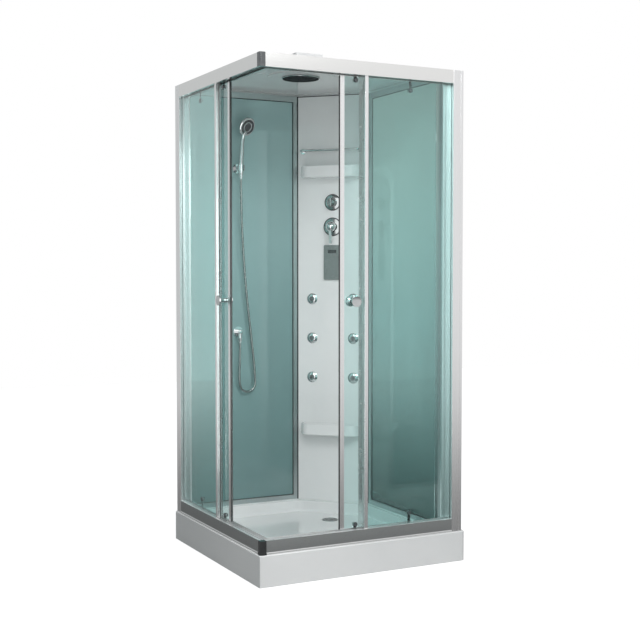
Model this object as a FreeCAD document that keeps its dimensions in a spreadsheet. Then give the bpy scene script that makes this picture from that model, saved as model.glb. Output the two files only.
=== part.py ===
import FreeCAD, Part
import math
import os
import Sketcher

# A corner shower cabin with two sliding doors that meet at the front corner.
# Millimetres. The origin is on the floor under the middle of the square tray, +Z is up.
# The glazed sides are the -Y and -X faces and meet at the entrance corner (-X, -Y).
# The teal glass walls stand along the +Y and +X sides, and a white service column fills
# the rear corner at 45 degrees. The -X side is the mirror image of the -Y side.

# Driving dimensions, grouped by the piece that carries them.
# A share is a ratio, an angle is in degrees, every other value is in millimetres.
SIZES = {
    # moulded tray
    "tray_side": 900,
    "tray_height": 118,
    "tray_wall": 6,
    "tray_corner_radius": 24,
    "front_corner_radius": 3,
    "tray_edge_radius": 4,
    "basin_rim": 62,
    "basin_wall_gap": 14,
    "basin_corner_radius": 64,
    "basin_floor_radius": 12,
    "basin_draft_angle": 6,
    "floor_thickness": 8,
    "service_cut_length": 640,
    "service_cut_height": 78,
    "trap_room": 62,
    # waste
    "drain_from_right": 285,
    "drain_from_back": 278,
    "drain_hole_radius": 26,
    "drain_seat_radius": 37,
    "drain_seat_depth": 3,
    "drain_cover_radius": 34,
    "drain_cover_height": 5,
    "drain_slot_width": 4,
    "drain_slot_pitch": 10,
    "trap_radius": 48,
    "trap_bottom": 13,
    "trap_neck_radius": 25.7,
    "outlet_radius": 20,
    "outlet_wall": 2,
    "outlet_headroom": 3.5,
    "outlet_length": 183,
    "outlet_collar_rim": 2.5,
    "outlet_collar_reach": 62,
    # support frame and feet
    "frame_tube": 25,
    "frame_tube_wall": 2,
    "frame_tube_inset": 50,
    "frame_tube_from_side": 170,
    "foot_pad_radius": 22,
    "foot_pad_height": 9,
    "foot_edge_radius": 18,
    "foot_rod_radius": 5,
    "foot_nut_across": 19,
    "foot_nut_height": 8,
    "foot_inset": 40,
    # front frame extrusions
    "frame_setback": 7.4,
    "rail_wall": 2,
    "rail_crown_radius": 420,
    "frame_top": 1935,
    "top_rail_height": 51,
    "bottom_rail_height": 43,
    "sill_height": 9,
    "sill_proud": 2,
    "glass_thickness": 5,
    "slot_clearance": 0.7,
    "glass_setback": 12.6,
    "top_slot_depth": 16,
    "bottom_slot_depth": 12,
    "rail_web": 3.3,
    "wheel_headroom": 5,
    "lip_length": 7,
    "track_bead_width": 2.2,
    "track_bead_height": 1,
    "connector_leg": 22,
    "connector_proud": 1,
    "connector_radius": 7,
    # wall posts
    "wall_gap": 18,
    "wall_strip_width": 12,
    "post_width": 34,
    "post_edge_radius": 1.5,
    "flange_length": 26,
    "flange_depth": 10,
    "post_slot_depth": 11.5,
    # fixed panel edge and its lip seal
    "edge_profile_width": 15,
    "edge_profile_depth": 15,
    "edge_profile_past_middle": 9,
    "edge_profile_nose": 4.5,
    "slot_end_gap": 0.5,
    "lip_seal_length": 18,
    "lip_seal_thickness": 1.2,
    "lip_seal_root": 3.6,
    "lip_seal_lean": 2,
    # sliding doors
    "door_overlap": 21.3,
    "door_open_gap": 63,
    "door_meeting_gap": 0.3,
    "door_rail_gap_top": 4,
    "door_rail_gap_bottom": 4,
    "door_seal_gap": 4,
    "door_profile_width": 18,
    "door_profile_front": 4,
    "door_profile_depth": 12,
    "magnet_seal_show": 6.5,
    "magnet_seal_width": 12.5,
    "door_profile_lip": 2,
    "door_glass_in_profile": 8,
    # door knobs
    "knob_from_tip": 63,
    "knob_above_floor": 1037,
    "knob_radius": 20,
    "knob_outer_length": 32,
    "knob_inner_length": 18,
    "knob_neck_radius": 9,
    "knob_neck_length": 9,
    "knob_rim": 5,
    "knob_flare_radius": 30,
    "knob_dish_radius": 60,
    "knob_dish_depth": 2.5,
    "knob_stud_radius": 4,
    "knob_bore_radius": 4.1,
    "knob_hole_radius": 5,
    # roller carriages
    "roller_from_tip": 75,
    "roller_from_edge": 118,
    "roller_radius": 10,
    "roller_groove_depth": 1,
    "roller_groove_width": 3,
    "roller_width": 6,
    "roller_bore_radius": 2.6,
    "axle_radius": 2.5,
    "axle_head_radius": 4,
    "axle_head_length": 1,
    "bracket_width": 12,
    "bracket_eye_radius": 9,
    "bracket_thickness": 2.5,
    "front_bolt_from_edge": 12,
    "rear_bolt_from_edge": 34,
    "bracket_overhang": 14,
    "bolt_radius": 3.8,
    "bolt_hole_radius": 4,
    "bolt_cap_radius": 8,
    "bolt_cap_height": 3,
    "bolt_nut_radius": 7,
    "bolt_nut_height": 6,
    "wheel_gap": 0.3,
    "wheel_side_gap": 0.7,
    "wheel_bracket_gap": 0.8,
    # rear walls
    "left_wall_setback": 32,
    "right_wall_setback": 88,
    "wall_top_drop": 7,
    "wall_frame_depth": 18,
    "wall_stile_width": 21,
    "wall_rail_height": 24,
    "wall_glass_recess": 7,
    "wall_slot_depth": 8,
    "wall_glass_inset": 7.5,
    # service column
    "column_leg": 232,
    "column_wall": 4,
    "column_return": 18,
    "column_rib_depth": 16,
    "column_rib_from_edge": 42.05,
    # shelves
    "shelf_from_edge": 27.55,
    "shelf_reach": 62,
    "shelf_height": 50,
    "shelf_end_radius": 40,
    "shelf_lip": 4,
    "shelf_floor": 10,
    "upper_shelf_drop": 371,
    "lower_shelf_base": 422,
    # towel rail
    "towel_rail_rise": 119,
    "towel_rail_from_edge": 28.05,
    "towel_rail_reach": 52,
    "towel_rod_radius": 5,
    "towel_bend_radius": 16,
    "towel_foot_radius": 12,
    "towel_foot_height": 5,
    # body jets
    "jet_from_edge": 69.35,
    "jet_drop": 85,
    "jet_spacing": 175.5,
    "jet_flange_radius": 24,
    "jet_flange_rim": 2,
    "jet_front": 8,
    "jet_lip_radius": 10.9,
    "jet_dome_radius": 30,
    "jet_tail_radius": 14.7,
    "jet_hole_radius": 15,
    "jet_tail_length": 16,
    "jet_ball_radius": 12,
    "jet_ball_gap": 0.3,
    "jet_ball_centre": 2,
    "jet_ball_back": 10,
    "jet_ball_front": 9,
    "jet_nose_radius": 4.4,
    "jet_nose_length": 3,
    "jet_bore_radius": 2.2,
    "jet_bore_depth": 9,
    # water works behind the column
    "manifold_socket_radius": 17,
    "manifold_socket_length": 30,
    "manifold_pipe_radius": 8,
    "manifold_header_radius": 10,
    "manifold_drop": 26,
    "valve_radius": 22,
    "valve_below_mixer": 32,
    "valve_above_diverter": 34,
    "valve_setback": 36,
    "cartridge_radius": 16,
    "cartridge_hole_radius": 17,
    "valve_arm_radius": 15,
    "inlet_spacing": 60,
    "inlet_radius": 10.5,
    "inlet_length": 20,
    "inlet_boss_radius": 13,
    "inlet_boss_length": 26,
    # mixer and diverter
    "mixer_drop": 108,
    "mixer_plate_radius": 39,
    "mixer_ball_centre": 17,
    "mixer_ball_radius": 18,
    "mixer_neck_radius": 15,
    "lever_shell_gap": 0.5,
    "lever_shell_wall": 4,
    "lever_shell_rim": 4,
    "lever_width": 13,
    "lever_thickness": 7,
    "lever_reach": 75,
    "lever_root_height": 14,
    "lever_tip_thickness": 5,
    "diverter_drop": 108,
    "diverter_plate_radius": 34.5,
    "plate_height": 6,
    "plate_rim": 2,
    "plate_dome_radius": 190,
    "diverter_knob_radius": 22,
    "diverter_knob_height": 26,
    "diverter_knob_foot": 8,
    "diverter_grip_width": 9,
    "diverter_grip_length": 38,
    "diverter_grip_rise": 5,
    "diverter_grip_round": 3,
    "diverter_waist_radius": 18,
    "diverter_swell": 30,
    "diverter_crown_radius": 9,
    "knob_seat_gap": 0.4,
    # control panel
    "panel_width": 78,
    "panel_height": 154,
    "panel_drop": 81,
    "panel_thickness": 9,
    "panel_corner_radius": 5,
    "panel_edge_radius": 2,
    "display_width": 39,
    "display_height": 15,
    "display_above_base": 118,
    "display_recess": 1.5,
    "display_glass_depth": 0.5,
    "key_size": 7,
    "key_rise": 0.8,
    "key_spacing": 20,
    "key_row_spacing": 17,
    "key_top_row": 97,
    "key_ring_centre": 36,
    "key_ring_radius": 21,
    # rain shower head and roof
    "rain_head_from_right": 511,
    "rain_head_from_back": 450,
    "rain_head_radius": 77.5,
    "rain_head_height": 6,
    "rain_head_rim": 3,
    "rain_head_swell": 15,
    "rain_neck_radius": 19,
    "rain_stub_height": 9,
    "ceiling_rise": 5,
    "roof_thickness": 4,
    "boss_radius": 135,
    "boss_drop": 3,
    "rain_hole_radius": 20,
    "duct_width": 20,
    "duct_drop": 4,
    "speaker_from_left": 218,
    "speaker_from_front": 452,
    "speaker_hole_radius": 3,
    "speaker_hole_pitch": 12,
    "roof_box_left_of_head": 109,
    "roof_box_before_head": 30,
    "roof_box_width": 120,
    "roof_box_depth": 150,
    "roof_box_height": 56,
    "roof_box_wall": 6,
    "roof_box_edge_radius": 3,
    "roof_box_radius": 8,
    # hand shower, holder and hose
    "holder_from_left": 287,
    "holder_drop": 338,
    "holder_base_radius": 20,
    "holder_base_height": 5,
    "holder_neck_radius": 8,
    "holder_neck_length": 11,
    "holder_ball_gap": 0.4,
    "holder_cheek": 8,
    "holder_cheek_wall": 4,
    "holder_ring_radius": 17,
    "holder_ring_height": 22,
    "holder_mouth": 13,
    "shower_stand_off": 48,
    "handle_clearance": 0.6,
    "handle_bottom_radius": 9,
    "handle_seat_radius": 11.5,
    "handle_neck_radius": 8,
    "handle_below_holder": 12,
    "head_radius": 41,
    "head_height": 18,
    "head_rim": 6,
    "head_bevel": 3,
    "head_face_step": 2,
    "head_face_crown": 3,
    "head_back_flat": 14.5,
    "head_face_dome": 260,
    "head_back_radius": 47,
    "head_tilt_angle": 113.6,
    "head_swing_angle": 18.6,
    "head_across": 24,
    "head_out": 16,
    "head_up": 176,
    "hose_radius": 5,
    "hose_nut_length": 16,
    "outlet_from_left": 290,
    "outlet_above_floor": 886,
    "outlet_flange_radius": 22,
    "outlet_flange_height": 5,
    "outlet_neck_radius": 10,
    "outlet_nose_round": 5,
    "outlet_spout_radius": 9,
    "outlet_stand_off": 26,
    "outlet_spout_length": 27,
    # one overrun for every cut
    "cut_overrun": 2,
}

Vector = FreeCAD.Vector
doc = FreeCAD.newDocument("ShowerCabin")
sheet = doc.addObject("Spreadsheet::Sheet", "dims")
for row, (alias, number) in enumerate(SIZES.items(), start=1):
    sheet.set(f"A{row}", alias)
    sheet.set(f"B{row}", str(number))
    sheet.setAlias(f"B{row}", alias)
doc.recompute()


class Size:
    """A length that carries the formula which ties it to the sheet's cells."""

    def __init__(self, value, formula):
        self.value = float(value)
        self.formula = formula

    def __add__(self, other):
        other = as_size(other)
        return Size(self.value + other.value, f"({self.formula} + {other.formula})")

    def __sub__(self, other):
        other = as_size(other)
        return Size(self.value - other.value, f"({self.formula} - {other.formula})")

    def __mul__(self, other):
        other = as_size(other)
        return Size(self.value * other.value, f"({self.formula} * {other.formula})")

    def __truediv__(self, other):
        other = as_size(other)
        return Size(self.value / other.value, f"({self.formula} / {other.formula})")

    def __neg__(self):
        return Size(-self.value, f"(-{self.formula})")


def as_size(number):
    if isinstance(number, Size):
        return number
    return Size(number, f"({float(number)!r})")


def root(size):
    return Size(math.sqrt(size.value), f"sqrt({size.formula})")


class Dimensions:
    """Reads a named cell of the sheet as a Size."""

    def __getattr__(self, alias):
        return Size(SIZES[alias], f"dims.{alias}")


dim = Dimensions()
ZERO = as_size(0)
# one leg of a square whose diagonal is 1, for everything that stands at 45 degrees
LEG_SHARE = math.sqrt(0.5)
DIAGONAL_SHARE = math.sqrt(2)
QUARTER_TURN = 90


def bind(thing, **formulas):
    """Tie each named property of a thing to its formula."""
    for name, size in formulas.items():
        thing.setExpression(name, as_size(size).formula)


def new_body(label):
    body = doc.addObject("PartDesign::Body", label)
    body.Label = label
    return body


def place(thing, x=ZERO, y=ZERO, z=ZERO, turn=0, tip=0):
    """Stand a piece at a point, tipped about its own X axis and then turned about Z."""
    turned = FreeCAD.Rotation(Vector(0, 0, 1), turn)
    tipped = FreeCAD.Rotation(Vector(1, 0, 0), tip)
    thing.Placement = FreeCAD.Placement(Vector(0, 0, 0), turned.multiply(tipped))
    for axis, size in (("x", x), ("y", y), ("z", z)):
        thing.setExpression(f"Placement.Base.{axis}", as_size(size).formula)
    return thing


def drive(sketch, kind, *reference, size):
    """Add one dimension to a sketch and tie it to its formula."""
    size = as_size(size)
    index = sketch.addConstraint(Sketcher.Constraint(kind, *reference, size.value))
    sketch.setExpression(f"Constraints[{index}]", size.formula)


def circle(x, y, radius):
    """A loop that is one circle."""

    def draw(sketch):
        centre = Vector(as_size(x).value, as_size(y).value, 0)
        line = sketch.addGeometry(Part.Circle(centre, Vector(0, 0, 1), as_size(radius).value))
        drive(sketch, "DistanceX", -1, 1, line, 3, size=x)
        drive(sketch, "DistanceY", -1, 1, line, 3, size=y)
        drive(sketch, "Radius", line, size=radius)

    return draw


def arc_between(start, end, radius):
    """The arc under a half circle from start to end; a positive radius swells to the right."""
    chord = end - start
    half = chord.Length / 2
    reach = math.sqrt(max(radius * radius - half * half, 0))
    left = Vector(-chord.y, chord.x, 0).normalize()
    side = 1 if radius > 0 else -1
    centre = (start + end) / 2 + left * reach * side
    first, last = (start, end) if side > 0 else (end, start)
    angles = [math.atan2(point.y - centre.y, point.x - centre.x) for point in (first, last)]
    whole = Part.Circle(centre, Vector(0, 0, 1), abs(radius))
    return Part.ArcOfCircle(whole, angles[0], angles[1])


def loop(*corners):
    """A closed loop through corners (x, y) or (x, y, radius of the arc to the next corner)."""

    def draw(sketch):
        ends = []
        points = [Vector(as_size(corner[0]).value, as_size(corner[1]).value, 0) for corner in corners]
        for index, corner in enumerate(corners):
            start = points[index]
            end = points[(index + 1) % len(points)]
            if len(corner) == 3:
                radius = as_size(corner[2])
                line = sketch.addGeometry(arc_between(start, end, radius.value))
                ends.append((line, 1, 2) if radius.value > 0 else (line, 2, 1))
            else:
                line = sketch.addGeometry(Part.LineSegment(start, end))
                ends.append((line, 1, 2))
        for index, corner in enumerate(corners):
            line, start, _ = ends[index]
            before, _, end = ends[index - 1]
            sketch.addConstraint(Sketcher.Constraint("Coincident", before, end, line, start))
            drive(sketch, "DistanceX", -1, 1, line, start, size=corner[0])
            drive(sketch, "DistanceY", -1, 1, line, start, size=corner[1])
            if len(corner) == 3:
                radius = as_size(corner[2])
                drive(sketch, "Radius", line, size=radius if radius.value > 0 else -radius)

    return draw


def open_path(*corners):
    """An open line through corners (x, y) or (x, y, radius of the arc to the next corner)."""

    def draw(sketch):
        points = [Vector(as_size(corner[0]).value, as_size(corner[1]).value, 0) for corner in corners]
        last = None
        for index, corner in enumerate(corners[:-1]):
            start = points[index]
            end = points[index + 1]
            if len(corner) == 3:
                radius = as_size(corner[2])
                line = sketch.addGeometry(arc_between(start, end, radius.value))
                drive(sketch, "Radius", line, size=radius if radius.value > 0 else -radius)
                ends = (1, 2) if radius.value > 0 else (2, 1)
            else:
                line = sketch.addGeometry(Part.LineSegment(start, end))
                ends = (1, 2)
            if last is not None:
                sketch.addConstraint(Sketcher.Constraint("Coincident", *last, line, ends[0]))
            drive(sketch, "DistanceX", -1, 1, line, ends[0], size=corner[0])
            drive(sketch, "DistanceY", -1, 1, line, ends[0], size=corner[1])
            last = (line, ends[1])
        drive(sketch, "DistanceX", -1, 1, *last, size=corners[-1][0])
        drive(sketch, "DistanceY", -1, 1, *last, size=corners[-1][1])

    return draw


def rectangle(left, low, right, high):
    return loop((left, low), (right, low), (right, high), (left, high))


# the XZ plane's normal points to -Y, the other two point along their positive axes
NORMAL_SIGN = {"XY_Plane": 1, "XZ_Plane": -1, "YZ_Plane": 1}


def sketch_on(body, plane, level, loops):
    """Draw loops on a plane of the body's own origin, shifted to a level along the world axis."""
    sketch = body.newObject("Sketcher::SketchObject", f"{body.Name}_sketch")
    support = [feature for feature in body.Origin.OriginFeatures if feature.Role == plane][0]
    sketch.AttachmentSupport = [(support, "")]
    sketch.MapMode = "FlatFace"
    sketch.setExpression("AttachmentOffset.Base.z", (as_size(level) * NORMAL_SIGN[plane]).formula)
    for draw in loops:
        draw(sketch)
    return sketch


def prism(body, plane, low, high, *loops):
    """Pad the loops from low to high along the axis that the plane faces."""
    low = as_size(low)
    high = as_size(high)
    start = low if NORMAL_SIGN[plane] > 0 else high
    sketch = sketch_on(body, plane, start, loops)
    pad = body.newObject("PartDesign::Pad", f"{body.Name}_pad")
    pad.Profile = (sketch, [""])
    bind(pad, Length=high - low)
    body.Tip = pad


def cut(body, plane, low, high, *loops, taper=None):
    """Pocket the loops between low and high, and make sure that they took material away."""
    low = as_size(low)
    high = as_size(high)
    doc.recompute()
    before = body.Shape.Volume
    start = high if NORMAL_SIGN[plane] > 0 else low
    sketch = sketch_on(body, plane, start, loops)
    pocket = body.newObject("PartDesign::Pocket", f"{body.Name}_pocket")
    pocket.Profile = (sketch, [""])
    bind(pocket, Length=high - low)
    if taper is not None:
        bind(pocket, TaperAngle=taper)
    body.Tip = pocket
    doc.recompute()
    if body.Shape.Volume >= before:
        raise RuntimeError(f"a pocket in {body.Label} took nothing away")


def turned(body, *corners):
    """Revolve a profile of (radius, height) corners about the body's own Z axis."""
    sketch = sketch_on(body, "XZ_Plane", ZERO, [loop(*corners)])
    revolution = body.newObject("PartDesign::Revolution", f"{body.Name}_turning")
    revolution.Profile = (sketch, [""])
    revolution.ReferenceAxis = (sketch, ["V_Axis"])
    revolution.Angle = 360
    body.Tip = revolution


def edges_where(body, rule):
    doc.recompute()
    return [f"Edge{index}" for index, edge in enumerate(body.Shape.Edges, start=1) if rule(edge)]


def fillet(body, radius, rule):
    """Round the edges that a rule picks."""
    base = body.Tip
    names = edges_where(body, rule)
    if not names:
        raise RuntimeError(f"no edge to round in {body.Label}")
    rounding = body.newObject("PartDesign::Fillet", f"{body.Name}_fillet")
    rounding.Base = (base, names)
    bind(rounding, Radius=radius)
    body.Tip = rounding


def chamfer(body, width, rule):
    """Bevel the edges that a rule picks."""
    base = body.Tip
    names = edges_where(body, rule)
    if not names:
        raise RuntimeError(f"no edge to bevel in {body.Label}")
    bevel = body.newObject("PartDesign::Chamfer", f"{body.Name}_chamfer")
    bevel.Base = (base, names)
    bind(bevel, Size=width)
    body.Tip = bevel


NEAR = 0.01


def upright_at(*places):
    """Pick edges that climb from near the given (x, y) places, also when they lean."""

    def rule(edge):
        ends = [vertex.Point for vertex in edge.Vertexes]
        if len(ends) < 2 or abs(ends[0].z - ends[1].z) < NEAR:
            return False
        top = max(ends, key=lambda point: point.z)
        for x, y in places:
            if math.hypot(top.x - as_size(x).value, top.y - as_size(y).value) < NEAR:
                return True
        return False

    return rule


def level_at(height):
    """Pick edges that lie flat at one height."""

    def rule(edge):
        box = edge.BoundBox
        return abs(box.ZMin - as_size(height).value) < NEAR and abs(box.ZMax - as_size(height).value) < NEAR

    return rule


pieces = []


def keep(thing):
    """Hold a finished piece, whose label names its file."""
    pieces.append(thing)
    return thing


def compound(label, members):
    """Several separate solids that share one name."""
    whole = doc.addObject("Part::Compound", label)
    whole.Label = label
    whole.Links = members
    return whole


def group(label, members):
    keep(compound(label, members))


def mirrored(thing, label):
    """The mirror image of a piece across the upright plane through both corners."""
    twin = doc.addObject("Part::Mirroring", label)
    twin.Label = label
    twin.Source = thing
    twin.Base = Vector(0, 0, 0)
    twin.Normal = Vector(1, -1, 0)
    return twin


def both_sides(thing):
    """Keep a piece of the -Y side and its mirror image on the -X side."""
    keep(thing)
    keep(mirrored(thing, thing.Label.replace("right", "left")))


def pair(label, *things):
    """A piece of the -Y side and its mirror image, under one name."""
    twins = [mirrored(thing, f"{thing.Label}_left") for thing in things]
    group(label, list(things) + twins)


half_tray = dim.tray_side / 2

# The tray: a vacuum-formed acrylic shell with a flat rim, a drafted basin and open corners behind.
basin_low = dim.basin_rim - half_tray
basin_right = half_tray - dim.right_wall_setback - dim.basin_wall_gap
basin_back = half_tray - dim.left_wall_setback - dim.basin_wall_gap
left_wall_face = half_tray - dim.left_wall_setback
right_wall_face = half_tray - dim.right_wall_setback
column_left = right_wall_face - dim.column_leg
# the column's face is the line x + y = column_line
column_line = column_left + left_wall_face
basin_line = column_line - dim.basin_wall_gap * DIAGONAL_SHARE
basin_underside = dim.trap_room
basin_floor = basin_underside + dim.floor_thickness
deck_underside = dim.tray_height - dim.tray_wall
drain_x = half_tray - dim.drain_from_right
drain_y = half_tray - dim.drain_from_back


def basin_outline(grow):
    low = basin_low - grow
    right = basin_right + grow
    back = basin_back + grow
    line = basin_line + grow * DIAGONAL_SHARE
    return [(low, low), (right, low), (right, line - right), (line - back, back), (low, back)]


def make_tray():
    body = new_body("tray")
    prism(body, "XY_Plane", ZERO, dim.tray_height, rectangle(-half_tray, -half_tray, half_tray, half_tray))
    ends = [(half_tray, -half_tray), (half_tray, half_tray), (-half_tray, half_tray)]
    fillet(body, dim.tray_corner_radius, upright_at(*ends))
    fillet(body, dim.front_corner_radius, upright_at((-half_tray, -half_tray)))
    fillet(body, dim.tray_edge_radius, level_at(dim.tray_height))
    basin = loop(*basin_outline(ZERO))
    cut(body, "XY_Plane", basin_floor, dim.tray_height, basin, taper=-dim.basin_draft_angle)
    fillet(body, dim.basin_corner_radius, upright_at(*basin_outline(ZERO)))
    fillet(body, dim.basin_floor_radius, level_at(basin_floor))
    inner = half_tray - dim.tray_wall
    skirt = rectangle(-inner, -inner, inner, inner)
    cut(body, "XY_Plane", -dim.cut_overrun, basin_underside, skirt)
    ring = loop(*basin_outline(dim.tray_wall))
    cut(body, "XY_Plane", basin_underside - dim.cut_overrun, deck_underside, skirt, ring)
    seat = circle(drain_x, drain_y, dim.drain_seat_radius)
    cut(body, "XY_Plane", basin_floor - dim.drain_seat_depth, basin_floor + dim.cut_overrun, seat)
    hole = circle(drain_x, drain_y, dim.drain_hole_radius)
    cut(body, "XY_Plane", basin_underside - dim.cut_overrun, basin_floor, hole)
    half_cut = dim.service_cut_length / 2
    service = rectangle(-half_cut, -dim.cut_overrun, half_cut, dim.service_cut_height)
    cut(body, "XZ_Plane", inner - dim.cut_overrun, half_tray + dim.cut_overrun, service)
    cut(body, "YZ_Plane", inner - dim.cut_overrun, half_tray + dim.cut_overrun, service)
    keep(body)


make_tray()


# The waste: a slotted chrome cover, and a trap under the basin with a spigot towards the right wall.
def make_drain():
    cover = new_body("drain_cover")
    base = basin_floor - dim.drain_seat_depth
    top = base + dim.drain_cover_height
    prism(cover, "XY_Plane", base, top, circle(drain_x, drain_y, dim.drain_cover_radius))
    reach_shares = (0.52, 0.78, 0.86, 0.78, 0.52)
    slots = []
    for index, share in enumerate(reach_shares):
        middle = drain_y + dim.drain_slot_pitch * (index - len(reach_shares) // 2)
        half_slot = dim.drain_slot_width / 2
        reach = dim.drain_cover_radius * share
        slots.append(rectangle(drain_x - reach, middle - half_slot, drain_x + reach, middle + half_slot))
    cut(cover, "XY_Plane", base - dim.cut_overrun, top + dim.cut_overrun, *slots)
    keep(cover)

    trap = new_body("drain_trap")
    prism(trap, "XY_Plane", dim.trap_bottom, basin_underside, circle(drain_x, drain_y, dim.trap_radius))
    neck_top = basin_floor - dim.drain_seat_depth
    prism(trap, "XY_Plane", basin_underside, neck_top, circle(drain_x, drain_y, dim.trap_neck_radius))
    collar_radius = dim.outlet_radius + dim.outlet_collar_rim
    outlet_z = basin_underside - dim.outlet_headroom - collar_radius
    collar_end = drain_x + dim.outlet_collar_reach
    outlet_end = collar_end + dim.outlet_length
    prism(trap, "YZ_Plane", drain_x, collar_end, circle(drain_y, outlet_z, collar_radius))
    prism(trap, "YZ_Plane", collar_end, outlet_end, circle(drain_y, outlet_z, dim.outlet_radius))
    bore = circle(drain_y, outlet_z, dim.outlet_radius - dim.outlet_wall)
    cut(trap, "YZ_Plane", drain_x, outlet_end + dim.cut_overrun, bore)
    well = circle(drain_x, drain_y, dim.trap_neck_radius - dim.outlet_wall)
    cut(trap, "XY_Plane", dim.trap_bottom + dim.outlet_wall, neck_top + dim.cut_overrun, well)
    keep(trap)


make_drain()


# The support frame: square tubes under the basin on five screw feet with lock nuts.
def make_support():
    top = basin_underside
    bottom = top - dim.frame_tube
    wall = dim.frame_tube_wall
    half_tube = dim.frame_tube / 2
    half_length = half_tray - dim.frame_tube_inset
    half_spacing = half_tray - dim.frame_tube_from_side
    tubes = []
    for sign in (-1, 1):
        tube = new_body("long_tube")
        middle = half_spacing * sign
        outer = rectangle(middle - half_tube, bottom, middle + half_tube, top)
        inner = rectangle(middle - half_tube + wall, bottom + wall, middle + half_tube - wall, top - wall)
        prism(tube, "YZ_Plane", -half_length, half_length, outer, inner)
        tubes.append(tube)
    cross = new_body("cross_tube")
    outer = rectangle(-half_tube, bottom, half_tube, top)
    inner = rectangle(wall - half_tube, bottom + wall, half_tube - wall, top - wall)
    prism(cross, "XZ_Plane", half_tube - half_spacing, half_spacing - half_tube, outer, inner)
    tubes.append(cross)
    group("tray_support_frame", tubes)

    foot_x = half_length - dim.foot_inset
    places = [(ZERO, ZERO)]
    places += [(foot_x * i, half_spacing * j) for i in (-1, 1) for j in (-1, 1)]
    feet = []
    for x, y in places:
        foot = new_body("foot")
        rod = dim.foot_rod_radius
        pad = dim.foot_pad_height
        edge = dim.foot_edge_radius
        turned(
            foot, (ZERO, ZERO), (dim.foot_pad_radius, ZERO), (edge, pad),
            (rod, pad), (rod, bottom), (ZERO, bottom),
        )
        corner = dim.foot_nut_across / math.sqrt(3)
        half_across = dim.foot_nut_across / 2
        nut = loop(
            (corner, ZERO), (corner / 2, half_across), (-corner / 2, half_across),
            (-corner, ZERO), (-corner / 2, -half_across), (corner / 2, -half_across),
        )
        prism(foot, "XY_Plane", bottom - dim.foot_nut_height, bottom, nut)
        feet.append(place(foot, x, y))
    group("levelling_feet", feet)


make_support()

# The front frame: a top and a bottom extrusion on each glazed side, held by corner connectors.
frame_face = dim.frame_setback - half_tray
slot_near = frame_face + dim.glass_setback - dim.slot_clearance
slot_far = slot_near + dim.glass_thickness + dim.slot_clearance * 2
glass_near = frame_face + dim.glass_setback
glass_far = glass_near + dim.glass_thickness
edge_profile_near = slot_near - (dim.edge_profile_depth - (slot_far - slot_near)) / 2
edge_profile_far = edge_profile_near + dim.edge_profile_depth
door_glass_near = edge_profile_far + dim.lip_seal_lean + dim.door_seal_gap
door_glass_far = door_glass_near + dim.glass_thickness
bracket_far = door_glass_far + dim.bracket_thickness
wheel_near = bracket_far + dim.wheel_bracket_gap
wheel_far = wheel_near + dim.roller_width
chamber_near = slot_far + dim.rail_web
chamber_far = wheel_far + dim.axle_head_length + dim.wheel_side_gap
rail_inner = chamber_far + dim.rail_wall
lip_end = chamber_far - dim.lip_length
top_rail_base = dim.frame_top - dim.top_rail_height
sill_top = dim.tray_height + dim.sill_height
bottom_rail_top = sill_top + dim.bottom_rail_height
rail_start = frame_face + dim.connector_leg
post_right = half_tray - dim.wall_gap - dim.wall_strip_width
post_left = post_right - dim.post_width
door_top = top_rail_base - dim.door_rail_gap_top
door_bottom = bottom_rail_top + dim.door_rail_gap_bottom
upper_axle = door_top + dim.bracket_overhang + dim.roller_radius - dim.axle_head_radius / 2
lower_axle = door_bottom - dim.bracket_overhang - dim.roller_radius + dim.axle_head_radius / 2
upper_bead = upper_axle - dim.roller_radius + dim.roller_groove_depth - dim.wheel_gap
lower_bead = lower_axle - dim.roller_radius + dim.roller_groove_depth - dim.wheel_gap
upper_track = upper_bead - dim.track_bead_height
lower_track = lower_bead - dim.track_bead_height
wheel_middle = (wheel_near + wheel_far) / 2
bead_near = wheel_middle - dim.track_bead_width / 2
bead_far = wheel_middle + dim.track_bead_width / 2


def mitre_rail(body, low, high):
    """Cut the rail's end at 45 degrees behind the corner connector."""
    corner = rail_start - dim.cut_overrun
    inner = rail_inner + dim.cut_overrun
    triangle = loop((corner, corner), (inner, inner), (corner, inner))
    cut(body, "XY_Plane", low - dim.cut_overrun, high + dim.cut_overrun, triangle)


def make_top_rail():
    body = new_body("top_rail")
    chamber_top = upper_axle + dim.roller_radius + dim.wheel_headroom
    slot_top = top_rail_base + dim.top_slot_depth
    section = loop(
        (frame_face, top_rail_base),
        (slot_near, top_rail_base),
        (slot_near, slot_top),
        (slot_far, slot_top),
        (slot_far, top_rail_base),
        (chamber_near, top_rail_base),
        (chamber_near, chamber_top),
        (chamber_far, chamber_top),
        (chamber_far, upper_track),
        (bead_far, upper_track),
        (bead_far, upper_bead),
        (bead_near, upper_bead),
        (bead_near, upper_track),
        (lip_end, upper_track),
        (lip_end, top_rail_base),
        (rail_inner, top_rail_base),
        (rail_inner, dim.frame_top),
        (frame_face, dim.frame_top, dim.rail_crown_radius),
    )
    hollow = rectangle(
        frame_face + dim.rail_wall, chamber_top + dim.rail_wall,
        rail_inner - dim.rail_wall, dim.frame_top - dim.rail_wall,
    )
    prism(body, "YZ_Plane", rail_start, post_left, section, hollow)
    mitre_rail(body, top_rail_base, dim.frame_top)
    pair("top_rails", body)


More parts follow.
